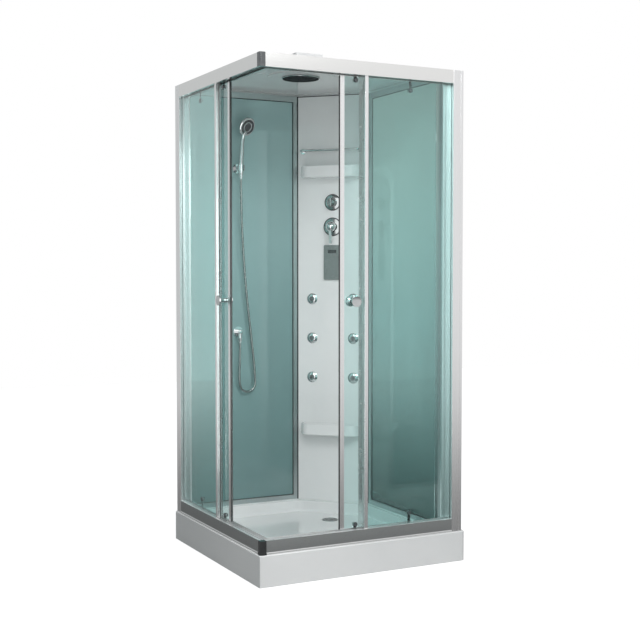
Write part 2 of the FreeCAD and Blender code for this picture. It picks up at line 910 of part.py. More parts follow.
def make_bottom_rail():
    body = new_body("bottom_rail")
    slot_bottom = bottom_rail_top - dim.bottom_slot_depth
    section = loop(
        (frame_face - dim.sill_proud, dim.tray_height),
        (rail_inner, dim.tray_height),
        (rail_inner, bottom_rail_top),
        (chamber_far, bottom_rail_top),
        (chamber_far, lower_track),
        (bead_far, lower_track),
        (bead_far, lower_bead),
        (bead_near, lower_bead),
        (bead_near, lower_track),
        (chamber_near, lower_track),
        (chamber_near, bottom_rail_top),
        (slot_far, bottom_rail_top),
        (slot_far, slot_bottom),
        (slot_near, slot_bottom),
        (slot_near, bottom_rail_top),
        (frame_face, bottom_rail_top, dim.rail_crown_radius),
        (frame_face, sill_top),
        (frame_face - dim.sill_proud, sill_top - dim.sill_proud),
    )
    hollow = rectangle(
        frame_face + dim.rail_wall, dim.tray_height + dim.rail_wall,
        rail_inner - dim.rail_wall, lower_track - dim.rail_wall,
    )
    prism(body, "YZ_Plane", rail_start, post_left, section, hollow)
    mitre_rail(body, dim.tray_height, bottom_rail_top)
    pair("bottom_rails", body)


def make_corner_connectors():
    outer = frame_face - dim.connector_proud
    made = []
    for label, low, high in (("upper", top_rail_base, dim.frame_top), ("lower", sill_top, bottom_rail_top)):
        body = new_body(f"{label}_connector")
        prism(body, "XY_Plane", low, high, rectangle(outer, outer, rail_start, rail_start))
        fillet(body, dim.connector_radius, upright_at((outer, outer)))
        if label == "lower":
            foot = outer - dim.sill_proud
            prism(body, "XY_Plane", dim.tray_height, sill_top, rectangle(foot, foot, rail_start, rail_start))
            fillet(body, dim.connector_radius, upright_at((foot, foot)))
        made.append(body)
    group("corner_connectors", made)


make_top_rail()
make_bottom_rail()
make_corner_connectors()


# The wall posts: each is an extrusion with a stop flange behind the door, beside a wall strip.
def make_wall_post():
    body = new_body("post_extrusion")
    back = rail_inner
    glass_end = post_left + dim.post_slot_depth
    section = loop(
        (post_left, frame_face),
        (post_right, frame_face),
        (post_right, back),
        (post_left, back),
        (post_left, slot_far),
        (glass_end, slot_far),
        (glass_end, slot_near),
        (post_left, slot_near),
    )
    hollow = rectangle(
        glass_end + dim.rail_wall, frame_face + dim.rail_wall,
        post_right - dim.rail_wall, back - dim.rail_wall,
    )
    prism(body, "XY_Plane", dim.tray_height, dim.frame_top, section, hollow)
    fillet(body, dim.post_edge_radius, upright_at((post_right, frame_face), (post_left, frame_face)))
    flange = rectangle(post_left - dim.flange_length, back - dim.flange_depth, post_left, back)
    prism(body, "XY_Plane", bottom_rail_top, top_rail_base, flange)
    strip = new_body("wall_strip")
    strip_right = post_right + dim.wall_strip_width
    outer = rectangle(post_right, frame_face, strip_right, back)
    inner = rectangle(
        post_right + dim.rail_wall, frame_face + dim.rail_wall,
        strip_right - dim.rail_wall, back - dim.rail_wall,
    )
    prism(strip, "XY_Plane", dim.tray_height, dim.frame_top, outer, inner)
    fillet(strip, dim.post_edge_radius, upright_at((post_right, frame_face), (strip_right, frame_face)))
    pair("wall_posts", body, strip)
    return glass_end


post_slot_end = make_wall_post()


edge_profile_nose = dim.edge_profile_past_middle - dim.edge_profile_width


# The fixed panel: toughened glass in the frame's slots, a slim edge profile and a clear lip seal.
def make_fixed_panel():
    edge = dim.edge_profile_past_middle
    nose = edge_profile_nose
    near = edge_profile_near
    far = edge_profile_far
    slot_end = nose + dim.edge_profile_nose
    glass = new_body("fixed_pane")
    low = bottom_rail_top - dim.bottom_slot_depth + dim.slot_end_gap
    high = top_rail_base + dim.top_slot_depth - dim.slot_end_gap
    pane = rectangle(slot_end + dim.slot_end_gap, low, post_slot_end - dim.slot_end_gap, high)
    prism(glass, "XZ_Plane", glass_near, glass_far, pane)
    pair("fixed_glass", glass)

    profile = new_body("edge_profile")
    section = loop(
        (nose, near), (edge, near), (edge, slot_near), (slot_end, slot_near),
        (slot_end, slot_far), (edge, slot_far), (edge, far), (nose, far),
    )
    prism(profile, "XY_Plane", bottom_rail_top, top_rail_base, section)
    fillet(profile, dim.post_edge_radius, upright_at((nose, near), (edge, near)))
    pair("fixed_edge_profiles", profile)

    seal = new_body("lip_seal")
    near_edge = far - dim.lip_seal_root
    tip = nose - dim.lip_seal_length
    heel = nose - dim.lip_seal_root
    section = loop(
        (nose, near_edge), (nose, far), (heel, far), (tip, far + dim.lip_seal_lean),
        (tip, far + dim.lip_seal_lean - dim.lip_seal_thickness), (heel, near_edge),
    )
    prism(seal, "XY_Plane", bottom_rail_top, top_rail_base, section)
    pair("lip_seals", seal)


make_fixed_panel()

# The sliding doors hang on four grooved rollers each. They stand open here, and slide to the corner.
door_profile_near = door_glass_near - dim.door_profile_front
door_profile_far = door_profile_near + dim.door_profile_depth
door_tip_closed = door_profile_near + dim.door_meeting_gap
door_width = edge_profile_nose + dim.door_overlap - door_tip_closed
door_edge = post_left - dim.door_open_gap
door_tip = door_edge - door_width
knob_x = door_tip + dim.knob_from_tip
ROLLER_PLACES = [(first, level) for level in ("upper", "lower") for first in (True, False)]


def roller_x(first):
    return door_tip + dim.roller_from_tip if first else door_edge - dim.roller_from_edge


def bolt_z(first, level):
    inset = dim.front_bolt_from_edge if first else dim.rear_bolt_from_edge
    return door_top - inset if level == "upper" else door_bottom + inset


def make_door_panel():
    glass = new_body("door_glass_right")
    start = door_tip + dim.magnet_seal_show
    end = start + dim.door_profile_width
    left = end - dim.door_glass_in_profile
    right = door_edge
    holes = [circle(knob_x, dim.knob_above_floor, dim.knob_hole_radius)]
    for first, level in ROLLER_PLACES:
        holes.append(circle(roller_x(first), bolt_z(first, level), dim.bolt_hole_radius))
    pane = rectangle(left, door_bottom, right, door_top)
    prism(glass, "XZ_Plane", door_glass_near, door_glass_far, pane, *holes)
    both_sides(glass)

    profile = new_body("door_profile_right")
    seat = door_tip + dim.magnet_seal_width
    lip = door_profile_near + dim.door_profile_lip
    slot_low = door_glass_near - dim.door_meeting_gap
    slot_high = door_glass_far + dim.door_meeting_gap
    slot_end = left - dim.door_meeting_gap
    section = loop(
        (start, door_profile_near), (end, door_profile_near), (end, slot_low), (slot_end, slot_low),
        (slot_end, slot_high), (end, slot_high), (end, door_profile_far), (seat, door_profile_far),
        (seat, lip), (start, lip),
    )
    prism(profile, "XY_Plane", door_bottom, door_top, section)
    both_sides(profile)

    seal = new_body("door_seal_right")
    wedge = loop(
        (door_tip, door_profile_near),
        (start, door_profile_near),
        (start, lip),
        (seat, lip),
        (seat, door_profile_far),
        (door_tip + dim.door_profile_depth, door_profile_far),
    )
    prism(seal, "XY_Plane", door_bottom, door_top, wedge)
    both_sides(seal)


def make_knob():
    outer = new_body("outer_knob")
    top = dim.knob_outer_length
    stud = dim.knob_stud_radius
    neck = dim.knob_neck_radius
    stud_end = -dim.glass_thickness - dim.knob_neck_length
    flare = dim.knob_flare_radius
    turned(
        outer, (ZERO, stud_end), (stud, stud_end), (stud, ZERO), (neck, ZERO),
        (neck, dim.knob_neck_length, -flare),
        (dim.knob_radius, top - dim.knob_rim), (dim.knob_radius, top, -dim.knob_dish_radius),
        (ZERO, top - dim.knob_dish_depth),
    )
    place(outer, knob_x, door_glass_near, dim.knob_above_floor, tip=QUARTER_TURN)
    inner = new_body("inner_knob")
    bore = dim.knob_bore_radius
    far = dim.knob_inner_length
    depth = dim.knob_neck_length + dim.slot_end_gap
    turned(
        inner, (bore, ZERO), (neck, ZERO), (neck, dim.knob_neck_length, -flare),
        (dim.knob_radius, far - dim.knob_rim), (dim.knob_radius, far, -dim.knob_dish_radius),
        (ZERO, far - dim.knob_dish_depth), (ZERO, depth), (bore, depth),
    )
    place(inner, knob_x, door_glass_far, dim.knob_above_floor, tip=-QUARTER_TURN)
    both_sides(compound("door_knob_right", [outer, inner]))


def make_carriages():
    brackets = []
    for first, level in ROLLER_PLACES:
        x = roller_x(first)
        axle = upper_axle if level == "upper" else lower_axle
        bolt = bolt_z(first, level)
        body = new_body(f"{level}_bracket")
        half = dim.bracket_width / 2
        low, high = sorted([bolt, axle], key=lambda end: end.value)
        prism(body, "XZ_Plane", door_glass_far, bracket_far, rectangle(x - half, low, x + half, high))
        prism(body, "XZ_Plane", door_glass_far, bracket_far, circle(x, axle, half))
        prism(body, "XZ_Plane", door_glass_far, bracket_far, circle(x, bolt, dim.bracket_eye_radius))
        nut_end = bracket_far + dim.bolt_nut_height
        prism(body, "XZ_Plane", bracket_far, nut_end, circle(x, bolt, dim.bolt_nut_radius))
        prism(body, "XZ_Plane", bracket_far, wheel_far, circle(x, axle, dim.axle_radius))
        head_end = wheel_far + dim.axle_head_length
        prism(body, "XZ_Plane", wheel_far, head_end, circle(x, axle, dim.axle_head_radius))
        prism(body, "XZ_Plane", door_glass_near, door_glass_far, circle(x, bolt, dim.bolt_radius))
        cap_end = door_glass_near - dim.bolt_cap_height
        prism(body, "XZ_Plane", cap_end, door_glass_near, circle(x, bolt, dim.bolt_cap_radius))
        brackets.append(body)
    both_sides(compound("roller_brackets_right", brackets))

    for first, level in ROLLER_PLACES:
        end = "front" if first else "rear"
        roller = new_body(f"roller_right_{level}_{end}")
        half = dim.roller_width / 2
        groove = dim.roller_groove_width / 2
        floor = dim.roller_radius - dim.roller_groove_depth
        turned(
            roller, (dim.roller_bore_radius, -half), (dim.roller_radius, -half),
            (dim.roller_radius, -groove), (floor, -groove), (floor, groove),
            (dim.roller_radius, groove), (dim.roller_radius, half), (dim.roller_bore_radius, half),
        )
        axle = upper_axle if level == "upper" else lower_axle
        both_sides(place(roller, roller_x(first), wheel_middle, axle, tip=QUARTER_TURN))


make_door_panel()
make_knob()
make_carriages()

# The rear walls: a slotted extrusion frame of four bars round each pane of teal glass.
wall_start = rail_inner
wall_top = dim.frame_top - dim.wall_top_drop


def make_wall(side, start, end, stand):
    depth = dim.wall_frame_depth
    near = dim.wall_glass_recess
    far = near + dim.glass_thickness
    slack = dim.door_meeting_gap
    stile = dim.wall_stile_width
    rail = dim.wall_rail_height
    low = dim.tray_height
    high = wall_top
    slot = dim.wall_slot_depth
    bars = []
    for edge, sign in ((start, 1), (end, -1)):
        body = new_body(f"{side}_stile")
        lip = edge + stile * sign
        floor = lip - slot * sign
        section = loop(
            (edge, ZERO), (lip, ZERO), (lip, near - slack), (floor, near - slack),
            (floor, far + slack), (lip, far + slack), (lip, depth), (edge, depth),
        )
        prism(body, "XY_Plane", low, high, section)
        bars.append(body)
    for edge, sign in ((low, 1), (high, -1)):
        body = new_body(f"{side}_rail")
        lip = edge + rail * sign
        floor = lip - slot * sign
        section = loop(
            (ZERO, edge), (depth, edge), (depth, lip), (far + slack, lip),
            (far + slack, floor), (near - slack, floor), (near - slack, lip), (ZERO, lip),
        )
        prism(body, "YZ_Plane", start + stile, end - stile, section)
        bars.append(body)
    for bar in bars:
        stand(bar)
    group(f"wall_frame_{side}", bars)
    glass = new_body(f"wall_glass_{side}")
    inset = dim.wall_glass_inset
    pane = rectangle(start + stile - inset, low + rail - inset, end - stile + inset, high - rail + inset)
    prism(glass, "XZ_Plane", near, far, pane)
    keep(stand(glass))


def against_left_wall(thing):
    return place(thing, ZERO, left_wall_face, ZERO)


def against_right_wall(thing):
    return place(thing, right_wall_face, ZERO, ZERO, turn=-QUARTER_TURN)


column_right_y = column_line - right_wall_face
make_wall("left", wall_start, column_left, against_left_wall)
make_wall("right", -column_right_y, -wall_start, against_right_wall)

# The service column: a moulded panel across the rear corner, which carries all the fittings.
column_x = (column_left + right_wall_face) / 2
column_y = (left_wall_face + column_right_y) / 2
column_half = (right_wall_face - column_left) * DIAGONAL_SHARE / 2
JET_PLACES = [(side, level) for level in ("top", "middle", "bottom") for side in (-1, 1)]
upper_shelf_base = dim.frame_top - dim.upper_shelf_drop
diverter_z = upper_shelf_base - dim.diverter_drop
mixer_z = diverter_z - dim.mixer_drop
panel_base = mixer_z - dim.panel_drop - dim.panel_height
jet_offset = column_half - dim.jet_from_edge
top_jet_z = panel_base - dim.jet_drop
middle_jet_z = top_jet_z - dim.jet_spacing
JET_LEVELS = {"top": top_jet_z, "middle": middle_jet_z, "bottom": middle_jet_z - dim.jet_spacing}


def on_column(thing, across=ZERO, height=ZERO, tip=0):
    """Stand a piece on the column's face; tipped by a quarter turn, its Z axis points into the cabin."""
    shift = across * LEG_SHARE
    return place(thing, column_x + shift, column_y - shift, height, turn=-QUARTER_TURN / 2, tip=tip)


def make_column():
    body = new_body("column_shell")
    wall = dim.column_wall
    lean = dim.column_return * LEG_SHARE
    thick = wall * LEG_SHARE
    fold = wall * (DIAGONAL_SHARE - 1)
    half = column_half
    section = loop(
        (-half, ZERO), (half, ZERO), (half + lean, lean), (half + lean - thick, lean + thick),
        (half - fold, wall), (fold - half, wall), (thick - half - lean, lean + thick), (-half - lean, lean),
    )
    prism(body, "XY_Plane", dim.tray_height, wall_top, section)
    ribs = []
    for sign in (-1, 1):
        left = (half - dim.column_rib_from_edge) * sign - wall / 2
        ribs.append(rectangle(left, wall / 2, left + wall, dim.column_rib_depth))
    prism(body, "XY_Plane", dim.tray_height, wall_top, *ribs)
    holes = []
    for side, level in JET_PLACES:
        holes.append(circle(jet_offset * side, JET_LEVELS[level], dim.jet_hole_radius))
    holes.append(circle(ZERO, mixer_z, dim.cartridge_hole_radius))
    holes.append(circle(ZERO, diverter_z, dim.cartridge_hole_radius))
    holes.append(circle(ZERO, panel_base + dim.panel_height / 2, dim.jet_hole_radius))
    cut(body, "XZ_Plane", -dim.cut_overrun, wall + dim.cut_overrun, *holes)
    keep(on_column(body))


def shelf_plan(inset):
    half = column_half - dim.shelf_from_edge - inset
    front = inset - dim.shelf_reach
    bend = dim.shelf_end_radius - inset
    return loop(
        (-half, -inset), (-half, front + bend, bend), (bend - half, front),
        (half - bend, front, bend), (half, front + bend), (half, -inset),
    )


def make_shelves():
    shelves = []
    for base in (upper_shelf_base, dim.lower_shelf_base):
        body = new_body("shelf")
        lip = dim.shelf_lip
        top = base + dim.shelf_height
        prism(body, "XY_Plane", base, top, shelf_plan(ZERO))
        cut(body, "XY_Plane", base + dim.shelf_floor, top + dim.cut_overrun, shelf_plan(lip))
        chamfer(body, lip, lambda edge: level_at(base)(edge) and edge.BoundBox.YMin < -lip.value)
        shelves.append(on_column(body))
    group("shelves", shelves)


def make_towel_rail():
    body = new_body("towel_rail")
    half = column_half - dim.towel_rail_from_edge
    bend = dim.towel_bend_radius
    reach = dim.towel_rail_reach
    route = sketch_on(body, "XY_Plane", ZERO, [
        open_path(
            (-half, ZERO), (-half, bend - reach, bend), (bend - half, -reach),
            (half - bend, -reach, bend), (half, bend - reach), (half, ZERO),
        )
    ])
    ring = sketch_on(body, "XZ_Plane", ZERO, [circle(-half, ZERO, dim.towel_rod_radius)])
    pipe = body.newObject("PartDesign::AdditivePipe", "towel_rod")
    pipe.Profile = (ring, [""])
    doc.recompute()
    pipe.Spine = (route, [f"Edge{index}" for index in range(1, len(route.Shape.Edges) + 1)])
    body.Tip = pipe
    feet = [circle(half * sign, ZERO, dim.towel_foot_radius) for sign in (-1, 1)]
    prism(body, "XZ_Plane", -dim.towel_foot_height, ZERO, *feet)
    keep(on_column(body, ZERO, upper_shelf_base + dim.towel_rail_rise))


make_column()
make_shelves()
make_towel_rail()


# Six massage jets: each has a clamped bezel in the column and a ball nozzle that swivels in it.
def make_jets():
    centre = dim.jet_ball_centre
    ball = dim.jet_ball_radius
    seat = ball + dim.jet_ball_gap
    back = centre - dim.jet_ball_back
    front = centre + dim.jet_ball_front
    back_radius = root(ball * ball - dim.jet_ball_back * dim.jet_ball_back)
    front_radius = root(ball * ball - dim.jet_ball_front * dim.jet_ball_front)
    nose_tip = front + dim.jet_nose_length
    bore = dim.jet_bore_radius
    bore_end = nose_tip - dim.jet_bore_depth
    bezels = []
    for side, level in JET_PLACES:
        bezel = new_body("jet_bezel")
        lip_base = centre + dim.jet_flange_rim
        turned(
            bezel, (seat, -dim.jet_tail_length), (dim.jet_tail_radius, -dim.jet_tail_length),
            (dim.jet_tail_radius, ZERO), (dim.jet_flange_radius, ZERO),
            (dim.jet_flange_radius, dim.jet_flange_rim, dim.jet_dome_radius),
            (seat, dim.jet_front), (dim.jet_lip_radius, dim.jet_front), (seat, lip_base),
        )
        bezels.append(on_column(bezel, jet_offset * side, JET_LEVELS[level], tip=QUARTER_TURN))
        nozzle = new_body(f"jet_nozzle_{level}_{'left' if side < 0 else 'right'}")
        turned(
            nozzle, (ZERO, back), (back_radius, back, ball), (front_radius, front),
            (dim.jet_nose_radius, front), (dim.jet_nose_radius, nose_tip),
            (bore, nose_tip), (bore, bore_end), (ZERO, bore_end),
        )
        keep(on_column(nozzle, jet_offset * side, JET_LEVELS[level], tip=QUARTER_TURN))
    group("jet_bezels", bezels)


# Behind the column: a mixing and diverting valve, and a manifold that feeds the jets.
def make_water_works():
    setback = dim.valve_setback
    manifold = new_body("jet_manifold")
    pipe = dim.manifold_pipe_radius
    header = dim.manifold_header_radius
    bottom = mixer_z - dim.valve_below_mixer
    height = bottom - dim.manifold_drop
    header_end = jet_offset + header
    prism(manifold, "YZ_Plane", -header_end, header_end, circle(setback, height, header))
    risers = [circle(jet_offset * side, setback, pipe) for side in (-1, 1)]
    prism(manifold, "XY_Plane", JET_LEVELS["bottom"], height, *risers)
    sockets = []
    for side, level in JET_PLACES:
        sockets.append(circle(jet_offset * side, JET_LEVELS[level], dim.manifold_socket_radius))
    start = dim.jet_tail_length
    prism(manifold, "XZ_Plane", start, start + dim.manifold_socket_length, *sockets)
    prism(manifold, "XY_Plane", height, bottom, circle(ZERO, setback, pipe))
    keep(on_column(manifold))

    valve = new_body("water_valve")
    top = diverter_z + dim.valve_above_diverter
    prism(valve, "XY_Plane", bottom, top, circle(ZERO, setback, dim.valve_radius))
    mixing = circle(ZERO, mixer_z, dim.cartridge_radius)
    diverting = circle(ZERO, diverter_z, dim.cartridge_radius)
    prism(valve, "XZ_Plane", ZERO, setback, mixing, diverting)
    half = dim.inlet_spacing / 2
    arm = dim.valve_arm_radius
    prism(valve, "YZ_Plane", -half - arm, half + arm, circle(setback, mixer_z, arm))
    boss_end = setback + dim.inlet_boss_length
    bosses = [circle(half * side, mixer_z, dim.inlet_boss_radius) for side in (-1, 1)]
    prism(valve, "XZ_Plane", setback, boss_end, *bosses)
    inlets = [circle(half * side, mixer_z, dim.inlet_radius) for side in (-1, 1)]
    prism(valve, "XZ_Plane", boss_end, boss_end + dim.inlet_length, *inlets)
    keep(on_column(valve))


def make_mixer():
    plates = []
    rows = ((mixer_z, dim.mixer_plate_radius), (diverter_z, dim.diverter_plate_radius))
    for height, radius in rows:
        plate = new_body("cover_plate")
        hole = dim.cartridge_radius - dim.plate_rim
        turned(
            plate, (ZERO, ZERO), (radius, ZERO), (radius, dim.plate_rim, dim.plate_dome_radius),
            (hole, dim.plate_height), (ZERO, dim.plate_height),
        )
        plates.append(on_column(plate, ZERO, height, tip=QUARTER_TURN))
    group("valve_cover_plates", plates)

    base = dim.plate_height + dim.knob_seat_gap
    centre = base + dim.mixer_ball_centre
    ball = dim.mixer_ball_radius
    neck = dim.mixer_neck_radius
    shoulder = centre - root(ball * ball - neck * neck)
    cap = new_body("mixer_cap")
    turned(
        cap, (ZERO, base), (neck, base), (neck, shoulder, ball),
        (ball, centre, ball), (ZERO, centre + ball),
    )
    keep(on_column(cap, ZERO, mixer_z, tip=QUARTER_TURN))
    return centre


make_jets()
make_water_works()


def make_lever(centre):
    body = new_body("mixer_lever")
    hollow = dim.mixer_ball_radius + dim.lever_shell_gap
    outer = hollow + dim.lever_shell_wall
    low = dim.lever_shell_rim
    turned(
        body, (root(hollow * hollow - low * low), low), (root(outer * outer - low * low), low, outer),
        (ZERO, outer), (ZERO, hollow, -hollow),
    )
    half = dim.lever_width / 2
    thick = dim.lever_thickness
    tip = dim.lever_tip_thickness
    blade = loop(
        (-hollow - dim.lever_shell_wall / 2, low), (-dim.lever_reach, low + thick - tip),
        (-dim.lever_reach, low + thick),
        (-outer * LEG_SHARE, low + dim.lever_root_height),
    )
    prism(body, "YZ_Plane", -half, half, blade)
    on_column(body, ZERO, mixer_z, tip=QUARTER_TURN)
    # the lever's ball centre stands off the column's face, along its normal
    for axis, base in (("x", column_x), ("y", column_y)):
        body.setExpression(f"Placement.Base.{axis}", (base - centre * LEG_SHARE).formula)
    keep(body)


def make_diverter():
    knob = new_body("diverter_knob")
    base = dim.plate_height + dim.knob_seat_gap
    foot = base + dim.diverter_knob_foot
    top = base + dim.diverter_knob_height
    radius = dim.diverter_knob_radius
    turned(
        knob, (ZERO, base), (dim.diverter_waist_radius, base), (radius, foot, dim.diverter_swell),
        (dim.diverter_crown_radius, top), (ZERO, top),
    )
    half_width = dim.diverter_grip_width / 2
    half_length = dim.diverter_grip_length / 2
    grip = rectangle(-half_width, -half_length, half_width, half_length)
    prism(knob, "XY_Plane", foot, top + dim.diverter_grip_rise, grip)
    fillet(knob, dim.diverter_grip_round, level_at(top + dim.diverter_grip_rise))
    keep(on_column(knob, ZERO, diverter_z, tip=QUARTER_TURN))


lever_centre = make_mixer()
make_lever(lever_centre)
make_diverter()


# The control panel: a moulded case with a display window and pressed key domes under its film.
def make_panel():
    body = new_body("control_panel")
    half = dim.panel_width / 2
    front = -dim.panel_thickness
    low = panel_base
    high = low + dim.panel_height
    prism(body, "XZ_Plane", front, ZERO, rectangle(-half, low, half, high))
    fillet(body, dim.panel_corner_radius, lambda edge: edge.BoundBox.YLength > NEAR)
    fillet(body, dim.panel_edge_radius, lambda edge: edge.BoundBox.YMax < front.value + NEAR)
    half_display = dim.display_width / 2
    window_base = low + dim.display_above_base
    window = rectangle(-half_display, window_base, half_display, window_base + dim.display_height)
    cut(body, "XZ_Plane", front - dim.cut_overrun, front + dim.display_recess, window)
    half_key = dim.key_size / 2
    keys = []
    for side in (-1, 1):
        for row in (0, 1):
            x = dim.key_spacing / 2 * side
            z = low + dim.key_top_row - dim.key_row_spacing * row
            keys.append(rectangle(x - half_key, z - half_key, x + half_key, z + half_key))
    ring_centre = low + dim.key_ring_centre
    for x, z in ((0, 1), (0, -1), (1, 0), (-1, 0)):
        keys.append(circle(dim.key_ring_radius * x, ring_centre + dim.key_ring_radius * z, half_key))
    prism(body, "XZ_Plane", front - dim.key_rise, front, *keys)
    keep(on_column(body))
    display = new_body("control_display")
    prism(display, "XZ_Plane", front + dim.display_glass_depth, front + dim.display_recess, window)
    keep(on_column(display))


make_panel()

# The roof: a thin moulded ceiling with a down-turned rim, a round boss for the rain head and a duct.
rain_x = half_tray - dim.rain_head_from_right
rain_y = half_tray - dim.rain_head_from_back
speaker_x = dim.speaker_from_left - half_tray
speaker_y = dim.speaker_from_front - half_tray
roof_back = left_wall_face + dim.wall_frame_depth
roof_right = right_wall_face + dim.wall_frame_depth
roof_line = column_line + dim.column_return * DIAGONAL_SHARE
ceiling = dim.frame_top + dim.ceiling_rise
roof_top = ceiling + dim.roof_thickness


def roof_outline(inset):
    low = rail_inner + inset
    right = roof_right - inset
    back = roof_back - inset
    line = roof_line - inset * DIAGONAL_SHARE
    return loop((low, low), (right, low), (right, line - right), (line - back, back), (low, back))


def make_roof():
    body = new_body("roof")
    wall = dim.roof_thickness
    prism(body, "XY_Plane", ceiling, roof_top, roof_outline(ZERO))
    prism(body, "XY_Plane", wall_top, ceiling, roof_outline(ZERO), roof_outline(wall))
    boss = circle(rain_x, rain_y, dim.boss_radius)
    prism(body, "XY_Plane", ceiling - dim.boss_drop, ceiling, boss)
    run_x = column_left - rain_x
    run_y = left_wall_face - rain_y
    run = root(run_x * run_x + run_y * run_y)
    start_share = (dim.boss_radius - dim.duct_width) / run
    start_x = rain_x + run_x * start_share
    start_y = rain_y + run_y * start_share
    side_share = dim.duct_width / run / 2
    side_x = run_y * side_share
    side_y = run_x * side_share
    duct = loop(
        (start_x - side_x, start_y + side_y),
        (start_x + side_x, start_y - side_y),
        (column_left + side_x, left_wall_face - side_y),
        (column_left - side_x, left_wall_face + side_y),
    )
    prism(body, "XY_Plane", ceiling - dim.duct_drop, ceiling, duct)
    base = ceiling - dim.duct_drop
    hole = circle(rain_x, rain_y, dim.rain_hole_radius)
    cut(body, "XY_Plane", base - dim.cut_overrun, roof_top + dim.cut_overrun, hole)
    holes = []
    for column in (-1, 0, 1):
        for line in (-1, 0, 1):
            x = speaker_x + dim.speaker_hole_pitch * column
            y = speaker_y + dim.speaker_hole_pitch * line
            holes.append(circle(x, y, dim.speaker_hole_radius))
    cut(body, "XY_Plane", ceiling - dim.cut_overrun, roof_top + dim.cut_overrun, *holes)
    keep(body)


def make_rain_head():
    body = new_body("rain_head")
    seat = ceiling - dim.boss_drop
    rim = dim.rain_head_rim
    neck = dim.rain_neck_radius
    top = roof_top + dim.rain_stub_height
    shoulder = dim.rain_head_radius - rim
    turned(
        body, (ZERO, -dim.rain_head_height), (shoulder, -dim.rain_head_height),
        (dim.rain_head_radius, -rim, dim.rain_head_swell), (shoulder, ZERO),
        (neck, ZERO), (neck, top - seat), (ZERO, top - seat),
    )
    keep(place(body, rain_x, rain_y, seat))


def make_roof_box():
    body = new_body("roof_housing")
    left = rain_x - dim.roof_box_left_of_head
    right = left + dim.roof_box_width
    back = rain_y - dim.roof_box_before_head
    front = back - dim.roof_box_depth
    high = roof_top + dim.roof_box_height
    prism(body, "XY_Plane", roof_top, high, rectangle(left, front, right, back))
    fillet(body, dim.roof_box_radius, upright_at((left, front), (right, front), (left, back), (right, back)))
    fillet(body, dim.roof_box_edge_radius, level_at(high))
    wall = dim.roof_box_wall
    hollow = rectangle(left + wall, front + wall, right - wall, back - wall)
    cut(body, "XY_Plane", roof_top - dim.cut_overrun, high - wall, hollow)
    keep(body)


make_roof()
make_rain_head()
make_roof_box()

# The hand shower in its tilting holder, and the hose to the wall outlet.
wall_glass_face = left_wall_face + dim.wall_glass_recess
holder_x = dim.holder_from_left - half_tray
holder_z = dim.frame_top - dim.holder_drop
pivot_y = wall_glass_face - dim.holder_base_height - dim.holder_neck_length - dim.holder_base_height
shower_y = wall_glass_face - dim.shower_stand_off
ring_bore = dim.handle_seat_radius + dim.handle_clearance


def make_holder():
    base = new_body("holder_base")
    face = wall_glass_face
    radius = dim.holder_base_radius
    cheek = dim.holder_cheek
    inner = cheek + dim.holder_ball_gap
    outer = inner + dim.holder_cheek_wall
    half = dim.holder_neck_radius
    prism(base, "XZ_Plane", face - dim.holder_base_height, face, circle(holder_x, holder_z, radius))
    block_end = pivot_y + half + dim.holder_ball_gap
    low = holder_z - half
    high = holder_z + half
    block = rectangle(holder_x - outer, low, holder_x + outer, high)
    prism(base, "XZ_Plane", block_end, face - dim.holder_base_height, block)
    left_cheek = rectangle(holder_x - outer, low, holder_x - inner, high)
    right_cheek = rectangle(holder_x + inner, low, holder_x + outer, high)
    prism(base, "XZ_Plane", pivot_y - half, block_end, left_cheek, right_cheek)
    pin = circle(pivot_y, holder_z, dim.axle_radius)
    prism(base, "YZ_Plane", holder_x - outer, holder_x + outer, pin)
    keep(base)

    fork = new_body("holder_fork")
    half_ring = dim.holder_ring_height / 2
    low = holder_z - half_ring
    high = holder_z + half_ring
    prism(fork, "XY_Plane", low, high, circle(holder_x, shower_y, dim.holder_ring_radius))
    arm = rectangle(holder_x - cheek, shower_y + ring_bore, holder_x + cheek, pivot_y)
    prism(fork, "XY_Plane", holder_z - half, holder_z + half, arm)
    knuckle = circle(pivot_y, holder_z, half)
    prism(fork, "YZ_Plane", holder_x - cheek, holder_x + cheek, knuckle)
    eye = circle(pivot_y, holder_z, dim.roller_bore_radius)
    cut(fork, "YZ_Plane", holder_x - cheek - dim.cut_overrun, holder_x + cheek + dim.cut_overrun, eye)
    bore = circle(holder_x, shower_y, ring_bore)
    cut(fork, "XY_Plane", low - dim.cut_overrun, high + dim.cut_overrun, bore)
    half_mouth = dim.holder_mouth / 2
    mouth_front = shower_y - dim.holder_ring_radius - dim.cut_overrun
    mouth = rectangle(holder_x - half_mouth, mouth_front, holder_x + half_mouth, shower_y)
    cut(fork, "XY_Plane", low - dim.cut_overrun, high + dim.cut_overrun, mouth)
    keep(fork)


# The handle's rings between holder and head: shares of the way to the head across, out and up, a
# share of the neck's radius, and the angles by which the ring leans and swings.
NECK_SHARES = (
    (0.12, 0, 0.34, 1.22, 0, 0),
    (0.27, 0, 0.62, 1, 0, 0),
    (0.42, 0.04, 0.77, 1.15, 8, 18),
    (0.72, 0.32, 0.9, 1.9, 30, 18),
)


def ring_at(radius, x, y, z, lean=0, swing=0):
    """A circle for the handle's skin, leaned about X and then swung about Z."""
    ring = doc.addObject("Part::Circle", "handle_ring")
    bind(ring, Radius=radius)
    place(ring, holder_x + x, shower_y + y, holder_z + z, turn=swing, tip=lean)
    return ring


